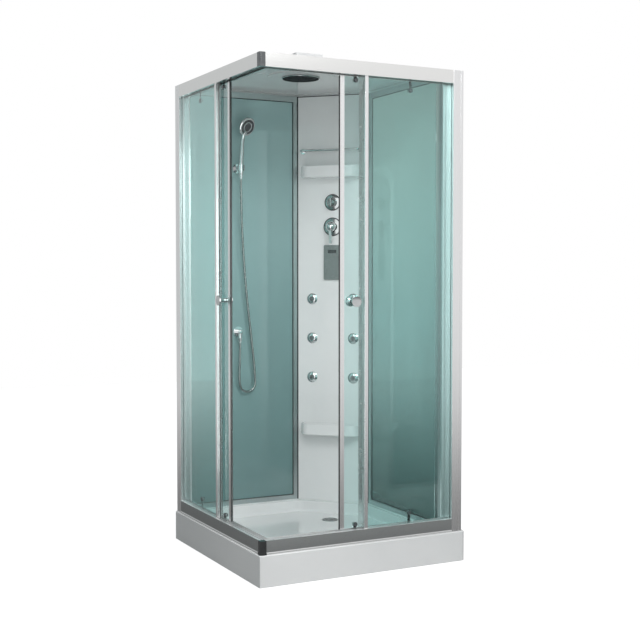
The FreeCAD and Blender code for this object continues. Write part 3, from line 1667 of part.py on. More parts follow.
def make_hand_shower():
    across = dim.head_across
    out = -dim.head_out
    up = dim.head_up
    bottom = -dim.handle_below_holder - dim.hose_nut_length
    seat = dim.handle_seat_radius
    neck = dim.handle_neck_radius
    rings = [
        ring_at(dim.handle_bottom_radius, ZERO, ZERO, bottom),
        ring_at(seat, ZERO, ZERO, -dim.holder_ring_height / 2),
        ring_at(seat, ZERO, ZERO, dim.holder_ring_height / 2),
    ]
    for across_share, out_share, up_share, radius_share, lean, swing in NECK_SHARES:
        place_at = (across * across_share, out * out_share, up * up_share)
        rings.append(ring_at(neck * radius_share, *place_at, lean, swing))
    handle = doc.addObject("Part::Loft", "shower_handle")
    handle.Sections = rings
    handle.Solid = True
    handle.Ruled = False
    head = new_body("shower_head")
    rim = dim.head_rim
    radius = dim.head_radius
    turned(
        head, (ZERO, -dim.head_height), (dim.head_back_flat, -dim.head_height, dim.head_back_radius),
        (radius, -rim), (radius, ZERO), (radius - dim.head_bevel, dim.head_face_step, dim.head_face_dome),
        (ZERO, dim.head_face_crown),
    )
    swing = dim.head_swing_angle.value
    tilt = dim.head_tilt_angle.value
    place(head, holder_x + across, shower_y + out, holder_z + up, turn=swing, tip=tilt)
    whole = doc.addObject("Part::Fuse", "hand_shower")
    whole.Label = "hand_shower"
    whole.Base = handle
    whole.Tool = head
    keep(whole)


def make_hose_outlet():
    body = new_body("hose_outlet")
    x = dim.outlet_from_left - half_tray
    z = dim.outlet_above_floor
    face = wall_glass_face
    neck = dim.outlet_neck_radius
    prism(body, "XZ_Plane", face - dim.outlet_flange_height, face, circle(x, z, dim.outlet_flange_radius))
    y = face - dim.outlet_stand_off
    prism(body, "XZ_Plane", y - neck, face, circle(x, z, neck))
    prism(body, "XY_Plane", z - dim.outlet_spout_length, z, circle(x, y, dim.outlet_spout_radius))
    fillet(body, dim.outlet_nose_round, lambda edge: edge.BoundBox.YMax < (y - neck).value + NEAR)
    keep(body)


make_holder()
make_hand_shower()
make_hose_outlet()

# The hose falls from the handle, swings out and loops back up to the outlet. The points between
# its two ends were set by hand. Each corner is rounded by an arc as large as its runs allow.
HOSE_POINTS = [
    (-163, 377, 1470),
    (-154, 390, 1350),
    (-145, 394, 1222),
    (-134, 398, 1100),
    (-121, 401, 985),
    (-107, 403, 880),
    (-94, 405, 775),
    (-86, 406, 690),
    (-84, 406, 645),
    (-107, 405.5, 622),
    (-139, 404, 622),
    (-161, 402, 645),
    (-163, 401, 700),
    (-160, 399, 779),
]
ARC_SHARE = 0.45


def make_hose():
    bottom = holder_z - dim.handle_below_holder - dim.hose_nut_length
    spout_x = dim.outlet_from_left - half_tray
    spout_y = wall_glass_face - dim.outlet_stand_off
    spout_z = dim.outlet_above_floor - dim.outlet_spout_length
    start = Vector(holder_x.value, shower_y.value, bottom.value)
    end = Vector(spout_x.value, spout_y.value, spout_z.value)
    middle = [Vector(*point) for point in HOSE_POINTS]
    middle[0] = Vector(start.x, start.y, middle[0].z)
    middle[-1] = Vector(end.x, end.y, middle[-1].z)
    points = [start] + middle + [end]
    edges = []
    radii = []
    here = start
    for before, corner, after in zip(points, points[1:], points[2:]):
        inward = (corner - before).normalize()
        outward = (after - corner).normalize()
        half_turn = inward.getAngle(outward) / 2
        back = ARC_SHARE * min((corner - before).Length, (after - corner).Length)
        radius = back / math.tan(half_turn)
        arc_start = corner - inward * back
        arc_end = corner + outward * back
        crown = (arc_start + arc_end) / 2 - corner
        depth = radius / math.cos(half_turn) - radius
        radii.append(round(radius))
        edges.append(Part.LineSegment(here, arc_start).toShape())
        edges.append(Part.Arc(arc_start, corner + crown.normalize() * depth, arc_end).toShape())
        here = arc_end
    edges.append(Part.LineSegment(here, end).toShape())
    route = Part.Wire(edges)
    ring = Part.Wire(Part.Circle(start, points[1] - start, dim.hose_radius.value).toShape())
    hose = doc.addObject("Part::Feature", "shower_hose")
    hose.Label = "shower_hose"
    hose.Shape = route.makePipeShell([ring], True, False)
    tube_volume = math.pi * dim.hose_radius.value ** 2 * route.Length
    print("hose: length", round(route.Length), "mm, radii", radii)
    print("hose: volume over section times length", round(hose.Shape.Volume / tube_volume, 3))
    keep(hose)


make_hose()

# Nothing is written unless every piece is sound.
doc.recompute()
for thing in doc.Objects:
    if "Invalid" in thing.State or "Error" in thing.State:
        raise RuntimeError(f"{thing.Label} did not compute")
for piece in pieces:
    if piece.Shape.isNull() or not piece.Shape.isValid() or not piece.Shape.Solids:
        raise RuntimeError(f"{piece.Label} is not a sound solid")
os.makedirs("parts", exist_ok=True)
for piece in pieces:
    piece.Shape.exportStep(f"parts/{piece.Label}.step")
print(len(pieces), "pieces,", len({piece.Label for piece in pieces}), "names")
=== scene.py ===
import math

import bmesh
import bpy
from mathutils import Matrix, Vector


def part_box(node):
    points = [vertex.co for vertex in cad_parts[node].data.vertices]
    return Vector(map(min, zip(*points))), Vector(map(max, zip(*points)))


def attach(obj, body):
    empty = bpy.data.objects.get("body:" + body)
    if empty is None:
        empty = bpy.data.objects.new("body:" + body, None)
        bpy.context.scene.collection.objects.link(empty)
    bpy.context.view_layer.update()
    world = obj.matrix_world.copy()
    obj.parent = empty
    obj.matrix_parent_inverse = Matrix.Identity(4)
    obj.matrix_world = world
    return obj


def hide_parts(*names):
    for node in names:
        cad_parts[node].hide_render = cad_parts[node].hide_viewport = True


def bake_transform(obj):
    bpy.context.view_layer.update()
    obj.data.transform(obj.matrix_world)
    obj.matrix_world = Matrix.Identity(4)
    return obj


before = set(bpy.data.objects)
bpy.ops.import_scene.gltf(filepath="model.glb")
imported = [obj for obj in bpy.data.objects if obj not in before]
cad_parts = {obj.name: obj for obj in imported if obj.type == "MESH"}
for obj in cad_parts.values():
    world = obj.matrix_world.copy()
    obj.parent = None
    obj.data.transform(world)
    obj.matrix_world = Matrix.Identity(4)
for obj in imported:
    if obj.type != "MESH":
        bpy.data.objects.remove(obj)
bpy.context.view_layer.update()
MM = 0.001

# The moulded tray: one vacuum-formed sheet of white acrylic, polished by the mould, with the
# faint waviness that such a sheet keeps over its wide flat deck. It stands on the floor and
# carries every other piece. The service column, the shelves and the roof are the same acrylic.


def put(tree, kind, values=None, **settings):
    """Add a node. A value may be a number, a colour or another node's output socket."""
    node = tree.nodes.new(kind)
    for name, setting in settings.items():
        setattr(node, name, setting)
    for name, value in (values or {}).items():
        if isinstance(value, bpy.types.NodeSocket):
            tree.links.new(value, node.inputs[name])
        else:
            node.inputs[name].default_value = value
    return node


def new_group(name, inputs, outputs):
    """An empty shader node group with named inputs and outputs, and its two end nodes."""
    group = bpy.data.node_groups.new(name, "ShaderNodeTree")
    for label, kind, value in inputs:
        socket = group.interface.new_socket(label, in_out="INPUT", socket_type=kind)
        socket.default_value = value
    for label, kind in outputs:
        group.interface.new_socket(label, in_out="OUTPUT", socket_type=kind)
    return group, group.nodes.new("NodeGroupInput"), group.nodes.new("NodeGroupOutput")


def make_polish():
    """Handling marks: slow smears that dull the gloss, and a shallow unevenness of the skin."""
    group, given, made = new_group(
        "handled polish",
        [
            ("Vector", "NodeSocketVector", (0, 0, 0)),
            ("Smear Scale", "NodeSocketFloat", 6),
            ("Clean", "NodeSocketFloat", 0.08),
            ("Smeared", "NodeSocketFloat", 0.16),
            ("Skin Scale", "NodeSocketFloat", 40),
        ],
        [
            ("Roughness", "NodeSocketFloat"),
            ("Height", "NodeSocketFloat"),
            ("Mask", "NodeSocketFloat"),
        ],
    )
    smears = put(group, "ShaderNodeTexNoise", {
        "Vector": given.outputs["Vector"], "Scale": given.outputs["Smear Scale"],
        "Detail": 5, "Roughness": 0.62, "Distortion": 0.6,
    })
    spread = put(group, "ShaderNodeMapRange", {
        "Value": smears.outputs["Fac"], "From Min": 0.42, "From Max": 0.68,
        "To Min": given.outputs["Clean"], "To Max": given.outputs["Smeared"],
    })
    skin = put(group, "ShaderNodeTexNoise", {
        "Vector": given.outputs["Vector"], "Scale": given.outputs["Skin Scale"], "Detail": 2,
    })
    group.links.new(spread.outputs["Result"], made.inputs["Roughness"])
    group.links.new(skin.outputs["Fac"], made.inputs["Height"])
    group.links.new(smears.outputs["Fac"], made.inputs["Mask"])
    return group


polish = make_polish()

SOCKETS = {
    "metallic": "Metallic",
    "roughness": "Roughness",
    "coat_weight": "Coat Weight",
    "coat_roughness": "Coat Roughness",
    "transmission_weight": "Transmission Weight",
    "subsurface_weight": "Subsurface Weight",
    "ior": "IOR",
}


def new_finish(name, colour, **sockets):
    """A material with a Principled shader, whose plain values are set on its own sockets."""
    finish = bpy.data.materials.new(name)
    finish.use_nodes = True
    tree = finish.node_tree
    tree.nodes.clear()
    shader = put(tree, "ShaderNodeBsdfPrincipled", {"Base Color": (*colour, 1)})
    for label, value in sockets.items():
        shader.inputs[SOCKETS[label]].default_value = value
    end = put(tree, "ShaderNodeOutputMaterial")
    tree.links.new(shader.outputs["BSDF"], end.inputs["Surface"])
    return finish, tree, shader


def polished(tree, shader, scale, clean, smeared, skin_scale, skin_height):
    """Give a shader its handling marks. Returns the group, for what else reads its mask."""
    place = put(tree, "ShaderNodeTexCoord")
    marks = put(tree, "ShaderNodeGroup", node_tree=polish)
    marks.inputs["Smear Scale"].default_value = scale
    marks.inputs["Clean"].default_value = clean
    marks.inputs["Smeared"].default_value = smeared
    marks.inputs["Skin Scale"].default_value = skin_scale
    tree.links.new(place.outputs["Object"], marks.inputs["Vector"])
    tree.links.new(marks.outputs["Roughness"], shader.inputs["Roughness"])
    bump = put(tree, "ShaderNodeBump", {
        "Height": marks.outputs["Height"], "Distance": skin_height, "Strength": 0.5,
    })
    tree.links.new(bump.outputs["Normal"], shader.inputs["Normal"])
    return marks


def tinted(tree, shader, mask, light, dark, low=0.35, high=0.7):
    """Let the base colour wander a little between two close tones."""
    ramp = put(tree, "ShaderNodeValToRGB", {"Fac": mask})
    ramp.color_ramp.elements[0].position = low
    ramp.color_ramp.elements[1].position = high
    ramp.color_ramp.elements[0].color = (*light, 1)
    ramp.color_ramp.elements[1].color = (*dark, 1)
    tree.links.new(ramp.outputs["Color"], shader.inputs["Base Color"])
    return ramp


def worn_finish(name, colour, light, dark, wear, **sockets):
    """A material with handling marks, whose colour wanders between a light and a dark tone."""
    finish, tree, shader = new_finish(name, colour, **sockets)
    marks = polished(tree, shader, **wear)
    tinted(tree, shader, marks.outputs["Mask"], light, dark)
    return finish


def dress(finish, *nodes):
    """Finish CAD nodes with a material of this scene."""
    for name in nodes:
        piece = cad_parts[name]
        for slot in piece.material_slots:
            slot.material = finish


white_acrylic = worn_finish(
    "white acrylic", (0.84, 0.86, 0.86), (0.86, 0.875, 0.875), (0.82, 0.84, 0.842),
    dict(scale=3, clean=0.1, smeared=0.2, skin_scale=5, skin_height=0.0008),
    coat_weight=0.35, coat_roughness=0.04,
)
dress(white_acrylic, "tray", "column_shell", "shelves", "roof")

# The waste: a slotted steel cover, brushed to a satin, that lies loose in the basin's seat over a
# plastic trap, whose spigot leads under the deck to the wall, where nobody sees it. The jets'
# manifold behind the column is moulded from the same grey plastic.


def make_chrome(name, light, dark):
    wear = dict(scale=30, clean=0.045, smeared=0.12, skin_scale=90, skin_height=0.00005)
    return worn_finish(name, light, light, dark, wear, metallic=1.0)


satin_steel = worn_finish(
    "satin steel cover", (0.36, 0.38, 0.38), (0.38, 0.40, 0.40), (0.28, 0.30, 0.30),
    dict(scale=45, clean=0.22, smeared=0.36, skin_scale=300, skin_height=0.00005),
    metallic=1.0,
)

pipe_plastic = worn_finish(
    "grey pipe plastic", (0.55, 0.57, 0.58), (0.57, 0.59, 0.60), (0.49, 0.51, 0.52),
    dict(scale=14, clean=0.38, smeared=0.55, skin_scale=220, skin_height=0.0002),
)

chrome = make_chrome("polished chrome", (0.66, 0.68, 0.685), (0.56, 0.58, 0.585))
dress(satin_steel, "drain_cover")
dress(pipe_plastic, "drain_trap", "jet_manifold")

# The support frame and its screw feet: zinc-plated steel tube and rod under the basin, with the
# soft crystal pattern that the zinc bath leaves.


def make_zinc():
    finish, tree, shader = new_finish("plated steel", (0.58, 0.60, 0.62), metallic=1.0)
    polished(tree, shader, 25, clean=0.32, smeared=0.5, skin_scale=160, skin_height=0.0002)
    place = put(tree, "ShaderNodeTexCoord")
    crystals = put(tree, "ShaderNodeTexVoronoi", {"Vector": place.outputs["Object"], "Scale": 55})
    spread = crystals.outputs["Distance"]
    ramp = tinted(tree, shader, spread, (0.60, 0.62, 0.64), (0.50, 0.52, 0.54), 0.1, 0.8)
    ramp.color_ramp.interpolation = "EASE"
    return finish


dress(make_zinc(), "tray_support_frame", "levelling_feet")

# The front frame: extruded aluminium rails and posts with a bright anodised skin. The die leaves
# fine lines along each bar, so the grain follows the bar's own length.

DIE_LINE_DEPTH = 0.008 * MM
# how fine the die lines are along X, Y and Z
ALONG_Z = (900, 900, 1)
ALONG_FLOOR = (60, 60, 900)
# below this height the sill rail is pale, a painted highlight along its foot; behind the front skin it is
# pale, painted light in its channels
SILL_TOP = 127 * MM
SKIN_BLEND = 1 * MM
FRONT_SKIN = -441.6 * MM


def make_grain():
    """Die lines: noise drawn out along one axis, as a height and as a small change of gloss."""
    group, given, made = new_group(
        "die lines",
        [
            ("Vector", "NodeSocketVector", (0, 0, 0)),
            ("Stretch", "NodeSocketVector", (1, 1, 1)),
            ("Smooth", "NodeSocketFloat", 0.2),
            ("Rough", "NodeSocketFloat", 0.34),
        ],
        [
            ("Roughness", "NodeSocketFloat"),
            ("Height", "NodeSocketFloat"),
            ("Mask", "NodeSocketFloat"),
        ],
    )
    drawn = put(group, "ShaderNodeVectorMath", operation="MULTIPLY")
    group.links.new(given.outputs["Vector"], drawn.inputs[0])
    group.links.new(given.outputs["Stretch"], drawn.inputs[1])
    lines = put(group, "ShaderNodeTexNoise", {
        "Vector": drawn.outputs["Vector"], "Scale": 1, "Detail": 4, "Roughness": 0.7,
    })
    spread = put(group, "ShaderNodeMapRange", {
        "Value": lines.outputs["Fac"], "From Min": 0.3, "From Max": 0.7,
        "To Min": given.outputs["Smooth"], "To Max": given.outputs["Rough"],
    })
    group.links.new(spread.outputs["Result"], made.inputs["Roughness"])
    group.links.new(lines.outputs["Fac"], made.inputs["Height"])
    group.links.new(lines.outputs["Fac"], made.inputs["Mask"])
    return group


grain = make_grain()


def drawn_metal(name, light, dark, stretch, smooth, rough, metallic=1.0):
    finish, tree, shader = new_finish(name, light, metallic=metallic)
    place = put(tree, "ShaderNodeTexCoord")
    lines = put(tree, "ShaderNodeGroup", node_tree=grain)
    lines.inputs["Stretch"].default_value = stretch
    lines.inputs["Smooth"].default_value = smooth
    lines.inputs["Rough"].default_value = rough
    tree.links.new(place.outputs["Object"], lines.inputs["Vector"])
    tree.links.new(lines.outputs["Roughness"], shader.inputs["Roughness"])
    bump = put(tree, "ShaderNodeBump", {
        "Height": lines.outputs["Height"], "Distance": DIE_LINE_DEPTH, "Strength": 0.6,
    })
    tree.links.new(bump.outputs["Normal"], shader.inputs["Normal"])
    tinted(tree, shader, lines.outputs["Mask"], light, dark, 0.3, 0.7)
    return finish


def make_sill_rail_with_painted_light():
    """The bottom rail: grey on its two front faces, a darker copy of the bright rail as painted shade;
    pale inside its channels as painted light where shade falls, and pale on the sill strip as a
    painted highlight.
    """
    # the rail's grey front tone: a darker copy of the bright rail, painted shade
    finish = drawn_metal(
        "sill rail with painted shade and light", (0.37, 0.385, 0.385), (0.32, 0.335, 0.335), ALONG_FLOOR, 0.26, 0.38,
        metallic=0.6,
    )
    tree = finish.node_tree
    shader = tree.nodes["Principled BSDF"]
    face = shader.inputs["Base Color"].links[0].from_socket
    place = put(tree, "ShaderNodeTexCoord")
    split = put(tree, "ShaderNodeSeparateXYZ", {"Vector": place.outputs["Object"]})
    level = put(tree, "ShaderNodeMapRange", {
        "Value": split.outputs["Z"], "From Min": SILL_TOP - SKIN_BLEND, "From Max": SILL_TOP,
    })
    forward = put(tree, "ShaderNodeMath", {
        0: split.outputs["X"], 1: split.outputs["Y"],
    }, operation="MINIMUM")
    outward = put(tree, "ShaderNodeMapRange", {
        "Value": forward.outputs["Value"], "From Min": FRONT_SKIN, "From Max": FRONT_SKIN + SKIN_BLEND / 2,
        "To Min": 1, "To Max": 0,
    })
    grey = put(tree, "ShaderNodeMath", {
        0: level.outputs["Result"], 1: outward.outputs["Result"],
    }, operation="MULTIPLY")
    mix = put(tree, "ShaderNodeMix", data_type="RGBA")
    tree.links.new(grey.outputs["Value"], mix.inputs[0])
    # the pale tone: painted light in the channels and a painted highlight on the sill strip
    mix.inputs[6].default_value = (0.86, 0.87, 0.87, 1)
    tree.links.new(face, mix.inputs[7])
    tree.links.new(mix.outputs[2], shader.inputs["Base Color"])
    return finish


bright_upright = drawn_metal(
    "bright anodised post", (0.95, 0.955, 0.96), (0.89, 0.895, 0.90), ALONG_Z, 0.22, 0.32,
)
bright_rail = drawn_metal(
    "bright anodised rail", (0.95, 0.95, 0.94), (0.90, 0.90, 0.89), ALONG_FLOOR, 0.20, 0.28,
)
dress(bright_rail, "top_rails")
dress(make_sill_rail_with_painted_light(), "bottom_rails")
dress(bright_upright, "wall_posts", "fixed_edge_profiles", "door_profile_right", "door_profile_left")

# The corner connectors: cast pieces with a dark chrome skin that join two rails at the entrance
# corner and hide their mitred ends.

dark_chrome = worn_finish(
    "dark chrome", (0.20, 0.21, 0.215), (0.22, 0.23, 0.235), (0.15, 0.16, 0.165),
    dict(scale=22, clean=0.10, smeared=0.2, skin_scale=120, skin_height=0.00008),
    metallic=1.0,
)

dress(dark_chrome, "corner_connectors")

# The fixed panes and the doors: clear toughened glass, 5 mm thick, with a pale aqua body that
# grows deep along the ground edges. Wiping leaves faint smears on the faces.

FACING_Y = (0, 1, 0)
FACING_X = (1, 0, 0)
FACING_BOTH = (1, 1, 0)
SHADOW_LEFT = 0.08


def make_pane_edge():
    """Where a pane's surface is its ground edge, from the surface normal and the pane's own facing."""
    group, given, made = new_group(
        "ground edge",
        [("Normal", "NodeSocketVector", (0, 0, 1)), ("Facing", "NodeSocketVector", (0, 1, 0))],
        [("Edge", "NodeSocketFloat")],
    )
    dot = put(group, "ShaderNodeVectorMath", operation="DOT_PRODUCT")
    group.links.new(given.outputs["Normal"], dot.inputs[0])
    group.links.new(given.outputs["Facing"], dot.inputs[1])
    size = put(group, "ShaderNodeMath", operation="ABSOLUTE")
    group.links.new(dot.outputs["Value"], size.inputs[0])
    edge = put(group, "ShaderNodeMapRange", {
        "Value": size.outputs["Value"], "From Min": 0.3, "From Max": 0.7, "To Min": 1, "To Max": 0,
    })
    group.links.new(edge.outputs["Result"], made.inputs["Edge"])
    return group


pane_edge = make_pane_edge()


def clear_glass(name, facing):
    finish, tree, shader = new_finish(name, (0.85, 0.98, 0.965), transmission_weight=1.0, ior=1.5)
    place = put(tree, "ShaderNodeTexCoord")
    marks = put(tree, "ShaderNodeGroup", node_tree=polish)
    marks.inputs["Smear Scale"].default_value = 2.2
    marks.inputs["Clean"].default_value = 0
    marks.inputs["Smeared"].default_value = 0.012
    tree.links.new(place.outputs["Object"], marks.inputs["Vector"])
    tree.links.new(marks.outputs["Roughness"], shader.inputs["Roughness"])
    edge = put(tree, "ShaderNodeGroup", node_tree=pane_edge)
    edge.inputs["Facing"].default_value = facing
    tree.links.new(place.outputs["Normal"], edge.inputs["Normal"])
    ramp = put(tree, "ShaderNodeValToRGB", {"Fac": edge.outputs["Edge"]})
    ramp.color_ramp.elements[0].color = (0.77, 0.95, 0.935, 1)
    ramp.color_ramp.elements[1].color = (0.30, 0.58, 0.55, 1)
    tree.links.new(ramp.outputs["Color"], shader.inputs["Base Color"])
    # lamps and soft light pass straight through a flat pane, so the cabin inside stays lit
    path = put(tree, "ShaderNodeLightPath")
    soft = put(tree, "ShaderNodeMath", operation="MAXIMUM")
    tree.links.new(path.outputs["Is Shadow Ray"], soft.inputs[0])
    tree.links.new(path.outputs["Is Diffuse Ray"], soft.inputs[1])
    solid = put(tree, "ShaderNodeMapRange", {
        "Value": soft.outputs["Value"], "From Min": 0, "From Max": 1, "To Min": 1, "To Max": SHADOW_LEFT,
    })
    tree.links.new(solid.outputs["Result"], shader.inputs["Alpha"])
    return finish


dress(clear_glass("clear glass right", FACING_Y), "door_glass_right")
dress(clear_glass("clear glass left", FACING_X), "door_glass_left")
dress(clear_glass("clear glass fixed", FACING_BOTH), "fixed_glass")

# The seals: a translucent lip pressed on each fixed pane's edge profile, and a grey magnetic
# gasket along each door's leading edge.

DARKER_SHARE = 0.85


def make_soft_seal(name, colour, see_through):
    darker = tuple(DARKER_SHARE * part for part in colour)
    wear = dict(scale=30, clean=0.12, smeared=0.3, skin_scale=300, skin_height=0.00003)
    return worn_finish(name, colour, colour, darker, wear, transmission_weight=see_through, ior=1.4)


clear_seal = make_soft_seal("translucent seal", (0.93, 0.97, 0.965), see_through=0.94)
grey_seal = make_soft_seal("magnetic gasket", (0.055, 0.06, 0.062), see_through=0.0)
dress(clear_seal, "lip_seals")
dress(grey_seal, "door_seal_right", "door_seal_left")

# The door furniture: a chromed knob clamps each pane at hand height, and bolted satin straps carry
# the grooved nylon rollers. Each bolt has a domed dark cap outside and a hexagon nut inside.

nylon = worn_finish(
    "roller nylon", (0.80, 0.80, 0.77), (0.82, 0.82, 0.79), (0.68, 0.68, 0.66),
    dict(scale=50, clean=0.35, smeared=0.5, skin_scale=300, skin_height=0.00005),
    subsurface_weight=0.1,
)

bracket_metal = worn_finish(
    "satin strap metal", (0.62, 0.64, 0.64), (0.64, 0.66, 0.66), (0.52, 0.54, 0.54),
    dict(scale=40, clean=0.25, smeared=0.4, skin_scale=200, skin_height=0.0001),
    metallic=1.0,
)

cap_plastic = worn_finish(
    "dark cap plastic", (0.06, 0.07, 0.075), (0.055, 0.065, 0.07), (0.10, 0.11, 0.115),
    dict(scale=60, clean=0.18, smeared=0.32, skin_scale=300, skin_height=0.00006),
    coat_weight=0.4,
)

dress(chrome, "door_knob_right", "door_knob_left")
dress(bracket_metal, "roller_brackets_right", "roller_brackets_left")
for side in ("right", "left"):
    for level in ("upper", "lower"):
        for end in ("front", "rear"):
            dress(nylon, f"roller_{side}_{level}_{end}")

CAP_RADIUS = 8.6 * MM
CAP_RISE = 4.2 * MM
CAP_SIDES = 28
NUT_COVER_RADIUS = 8.3 * MM
NUT_COVER_RISE = 6.6 * MM
NUT_COVER_SIDES = 6
# shares of a button's radius, and of its rise, that its drum, its shoulder and its crown take
DRUM_RISE = 0.72
SHOULDER_WIDTH, SHOULDER_RISE = 0.10, 0.20
CROWN_WIDTH, CROWN_RISE = 0.28, 0.08
BRACKET_THICKNESS = 2.5 * MM
BOLT_INSETS = {"front": 12 * MM, "rear": 34 * MM}
SWAP_SIDES = Matrix(((0, 1, 0, 0), (1, 0, 0, 0), (0, 0, 1, 0), (0, 0, 0, 1)))


def select_none():
    for thing in bpy.context.selected_objects:
        thing.select_set(False)


def start_piece(name):
    """Name the primitive that was just added, which is the active object."""
    piece = bpy.context.object
    piece.name = name
    piece.data.name = name
    return piece


def settle(piece, finish, body):
    """Put the piece's place into its mesh, and give it its finish and the body that it rides on."""
    select_none()
    piece.select_set(True)
    bpy.context.view_layer.objects.active = piece
    bpy.ops.object.transform_apply(location=True, rotation=True, scale=True)
    piece.data.materials.clear()
    piece.data.materials.append(finish)
    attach(piece, body)
    return piece


def pick_faces(piece, rule):
    """In edit mode, select the faces whose centre and normal a rule accepts."""
    mesh = bmesh.from_edit_mesh(piece.data)
    mesh.select_mode = {"FACE"}
    for face in mesh.faces:
        face.select_set(bool(rule(face.calc_center_median(), face.normal)))
    mesh.select_flush_mode()
    bmesh.update_edit_mesh(piece.data)


def join_pieces(first, made):
    select_none()
    for thing in made:
        thing.select_set(True)
    bpy.context.view_layer.objects.active = first
    bpy.ops.object.join()


def turn_outward(piece):
    """Make every face look outward, which a mirrored matrix undoes."""
    select_none()
    piece.select_set(True)
    bpy.context.view_layer.objects.active = piece
    bpy.ops.object.mode_set(mode="EDIT")
    bpy.ops.mesh.select_all(action="SELECT")
    bpy.ops.mesh.normals_make_consistent(inside=False)
    bpy.ops.object.mode_set(mode="OBJECT")


def add_button(sides, radius, rise, foot, outward):
    """A cap on a foot point: a short drum, its top edge rounded by two insets, turned outward."""
    select_none()
    drum = rise * DRUM_RISE
    bpy.ops.mesh.primitive_cylinder_add(
        vertices=sides, radius=radius, depth=drum, location=(0, 0, drum / 2),
    )
    cap = bpy.context.object
    bpy.ops.object.transform_apply(location=True)
    bpy.ops.object.mode_set(mode="EDIT")
    pick_faces(cap, lambda centre, normal: normal.z > 0.9)
    bpy.ops.mesh.inset(thickness=radius * SHOULDER_WIDTH, depth=rise * SHOULDER_RISE)
    bpy.ops.mesh.inset(thickness=radius * CROWN_WIDTH, depth=rise * CROWN_RISE)
    bpy.ops.object.mode_set(mode="OBJECT")
    spin = Vector((0, 0, 1)).rotation_difference(Vector(outward)).to_matrix().to_4x4()
    cap.data.transform(Matrix.Translation(foot) @ spin)
    return cap


def make_bolt_caps(side, body):
    """Four caps outside a door's glass and four hexagon nuts on its straps, modelled on the right."""
    low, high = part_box("door_glass_right")
    made = []
    for end in ("front", "rear"):
        roller_low, roller_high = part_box(f"roller_right_upper_{end}")
        x = (roller_low[0] + roller_high[0]) / 2
        for z in (low[2] + BOLT_INSETS[end], high[2] - BOLT_INSETS[end]):
            made.append(add_button(CAP_SIDES, CAP_RADIUS, CAP_RISE, (x, low[1], z), (0, -1, 0)))
            strap = (x, high[1] + BRACKET_THICKNESS, z)
            made.append(add_button(
                NUT_COVER_SIDES, NUT_COVER_RADIUS, NUT_COVER_RISE, strap, (0, 1, 0),
            ))
    caps = made[0]
    caps.name = f"bolt_caps_{side}"
    caps.data.name = caps.name
    join_pieces(caps, made)
    if side == "left":
        caps.data.transform(SWAP_SIDES)
    turn_outward(caps)
    bpy.ops.object.shade_smooth_by_angle(angle=math.radians(35))
    return settle(caps, cap_plastic, body)


make_bolt_caps("right", "right_door")
make_bolt_caps("left", "left_door")

# The rear walls: satin anodised bars round a pane of toughened glass, whose back is painted a deep
# grey teal. Its tone grows darker towards the foot and paler towards the top, painted shade and
# light, and the right wall is much paler at the top than the left, painted light as well. A thin
# black gasket lies along the visible edge.

# where the tones sit: painted shade at the foot, painted light at the top, the middle between
PAINTED_SHADE_FOOT = 0.12
PAINTED_LIGHT_TOP = 1.93
PAINTED_SHADE_MIDDLE = 0.45
PAINT_WANDER = 0.12
STILE_WIDTH = 21 * MM
RAIL_WIDTH = 24 * MM
GASKET_WIDTH = 2.4 * MM
GASKET_RISE = 2.0 * MM


def make_painted_glass_with_painted_shade(name, foot, middle, top):
    """Paint seen through a pane: three tones that blend up the wall, dark at the foot as painted shade
    and pale at the top as painted light, with a slow unevenness.
    """
    finish, tree, shader = new_finish(name, middle, coat_weight=1.0, coat_roughness=0.02)
    marks = polished(tree, shader, 1.6, clean=0.05, smeared=0.09, skin_scale=1, skin_height=0.00002)
    place = put(tree, "ShaderNodeTexCoord")
    split = put(tree, "ShaderNodeSeparateXYZ", {"Vector": place.outputs["Object"]})
    wander = put(tree, "ShaderNodeMath", {
        0: marks.outputs["Mask"], 1: PAINT_WANDER, 2: -PAINT_WANDER / 2,
    }, operation="MULTIPLY_ADD")
    rise = put(tree, "ShaderNodeMapRange", {
        "Value": split.outputs["Z"], "From Min": PAINTED_SHADE_FOOT, "From Max": PAINTED_LIGHT_TOP,
    })
    level = put(tree, "ShaderNodeMath", {
        0: rise.outputs["Result"], 1: wander.outputs["Value"],
    }, operation="ADD")
    # dark at the foot and pale at the top: painted shade and painted light
    ramp = put(tree, "ShaderNodeValToRGB", {"Fac": level.outputs["Value"]})
    ramp.color_ramp.elements[0].color = (*foot, 1)
    ramp.color_ramp.elements[1].color = (*top, 1)
    centre = ramp.color_ramp.elements.new(PAINTED_SHADE_MIDDLE)
    centre.color = (*middle, 1)
    tree.links.new(ramp.outputs["Color"], shader.inputs["Base Color"])
    return finish


gasket_rubber = worn_finish(
    "black gasket", (0.02, 0.022, 0.024), (0.018, 0.02, 0.022), (0.04, 0.042, 0.045),
    dict(scale=60, clean=0.45, smeared=0.65, skin_scale=400, skin_height=0.0001),
)

satin_bar = drawn_metal(
    "satin anodised bar", (0.60, 0.63, 0.635), (0.52, 0.55, 0.555), ALONG_Z, 0.28, 0.42,
)
# each wall's foot, middle and top tone: the dark foot is painted shade, the pale top painted light
dress(
    make_painted_glass_with_painted_shade(
        "painted glass left", (0.16, 0.27, 0.27), (0.22, 0.36, 0.36), (0.38, 0.57, 0.57),
    ),
    "wall_glass_left",
)
dress(
    make_painted_glass_with_painted_shade(
        "painted glass right", (0.03, 0.075, 0.07), (0.38, 0.54, 0.53), (0.72, 0.80, 0.75),
    ),
    "wall_glass_right",
)
dress(satin_bar, "wall_frame_left", "wall_frame_right")


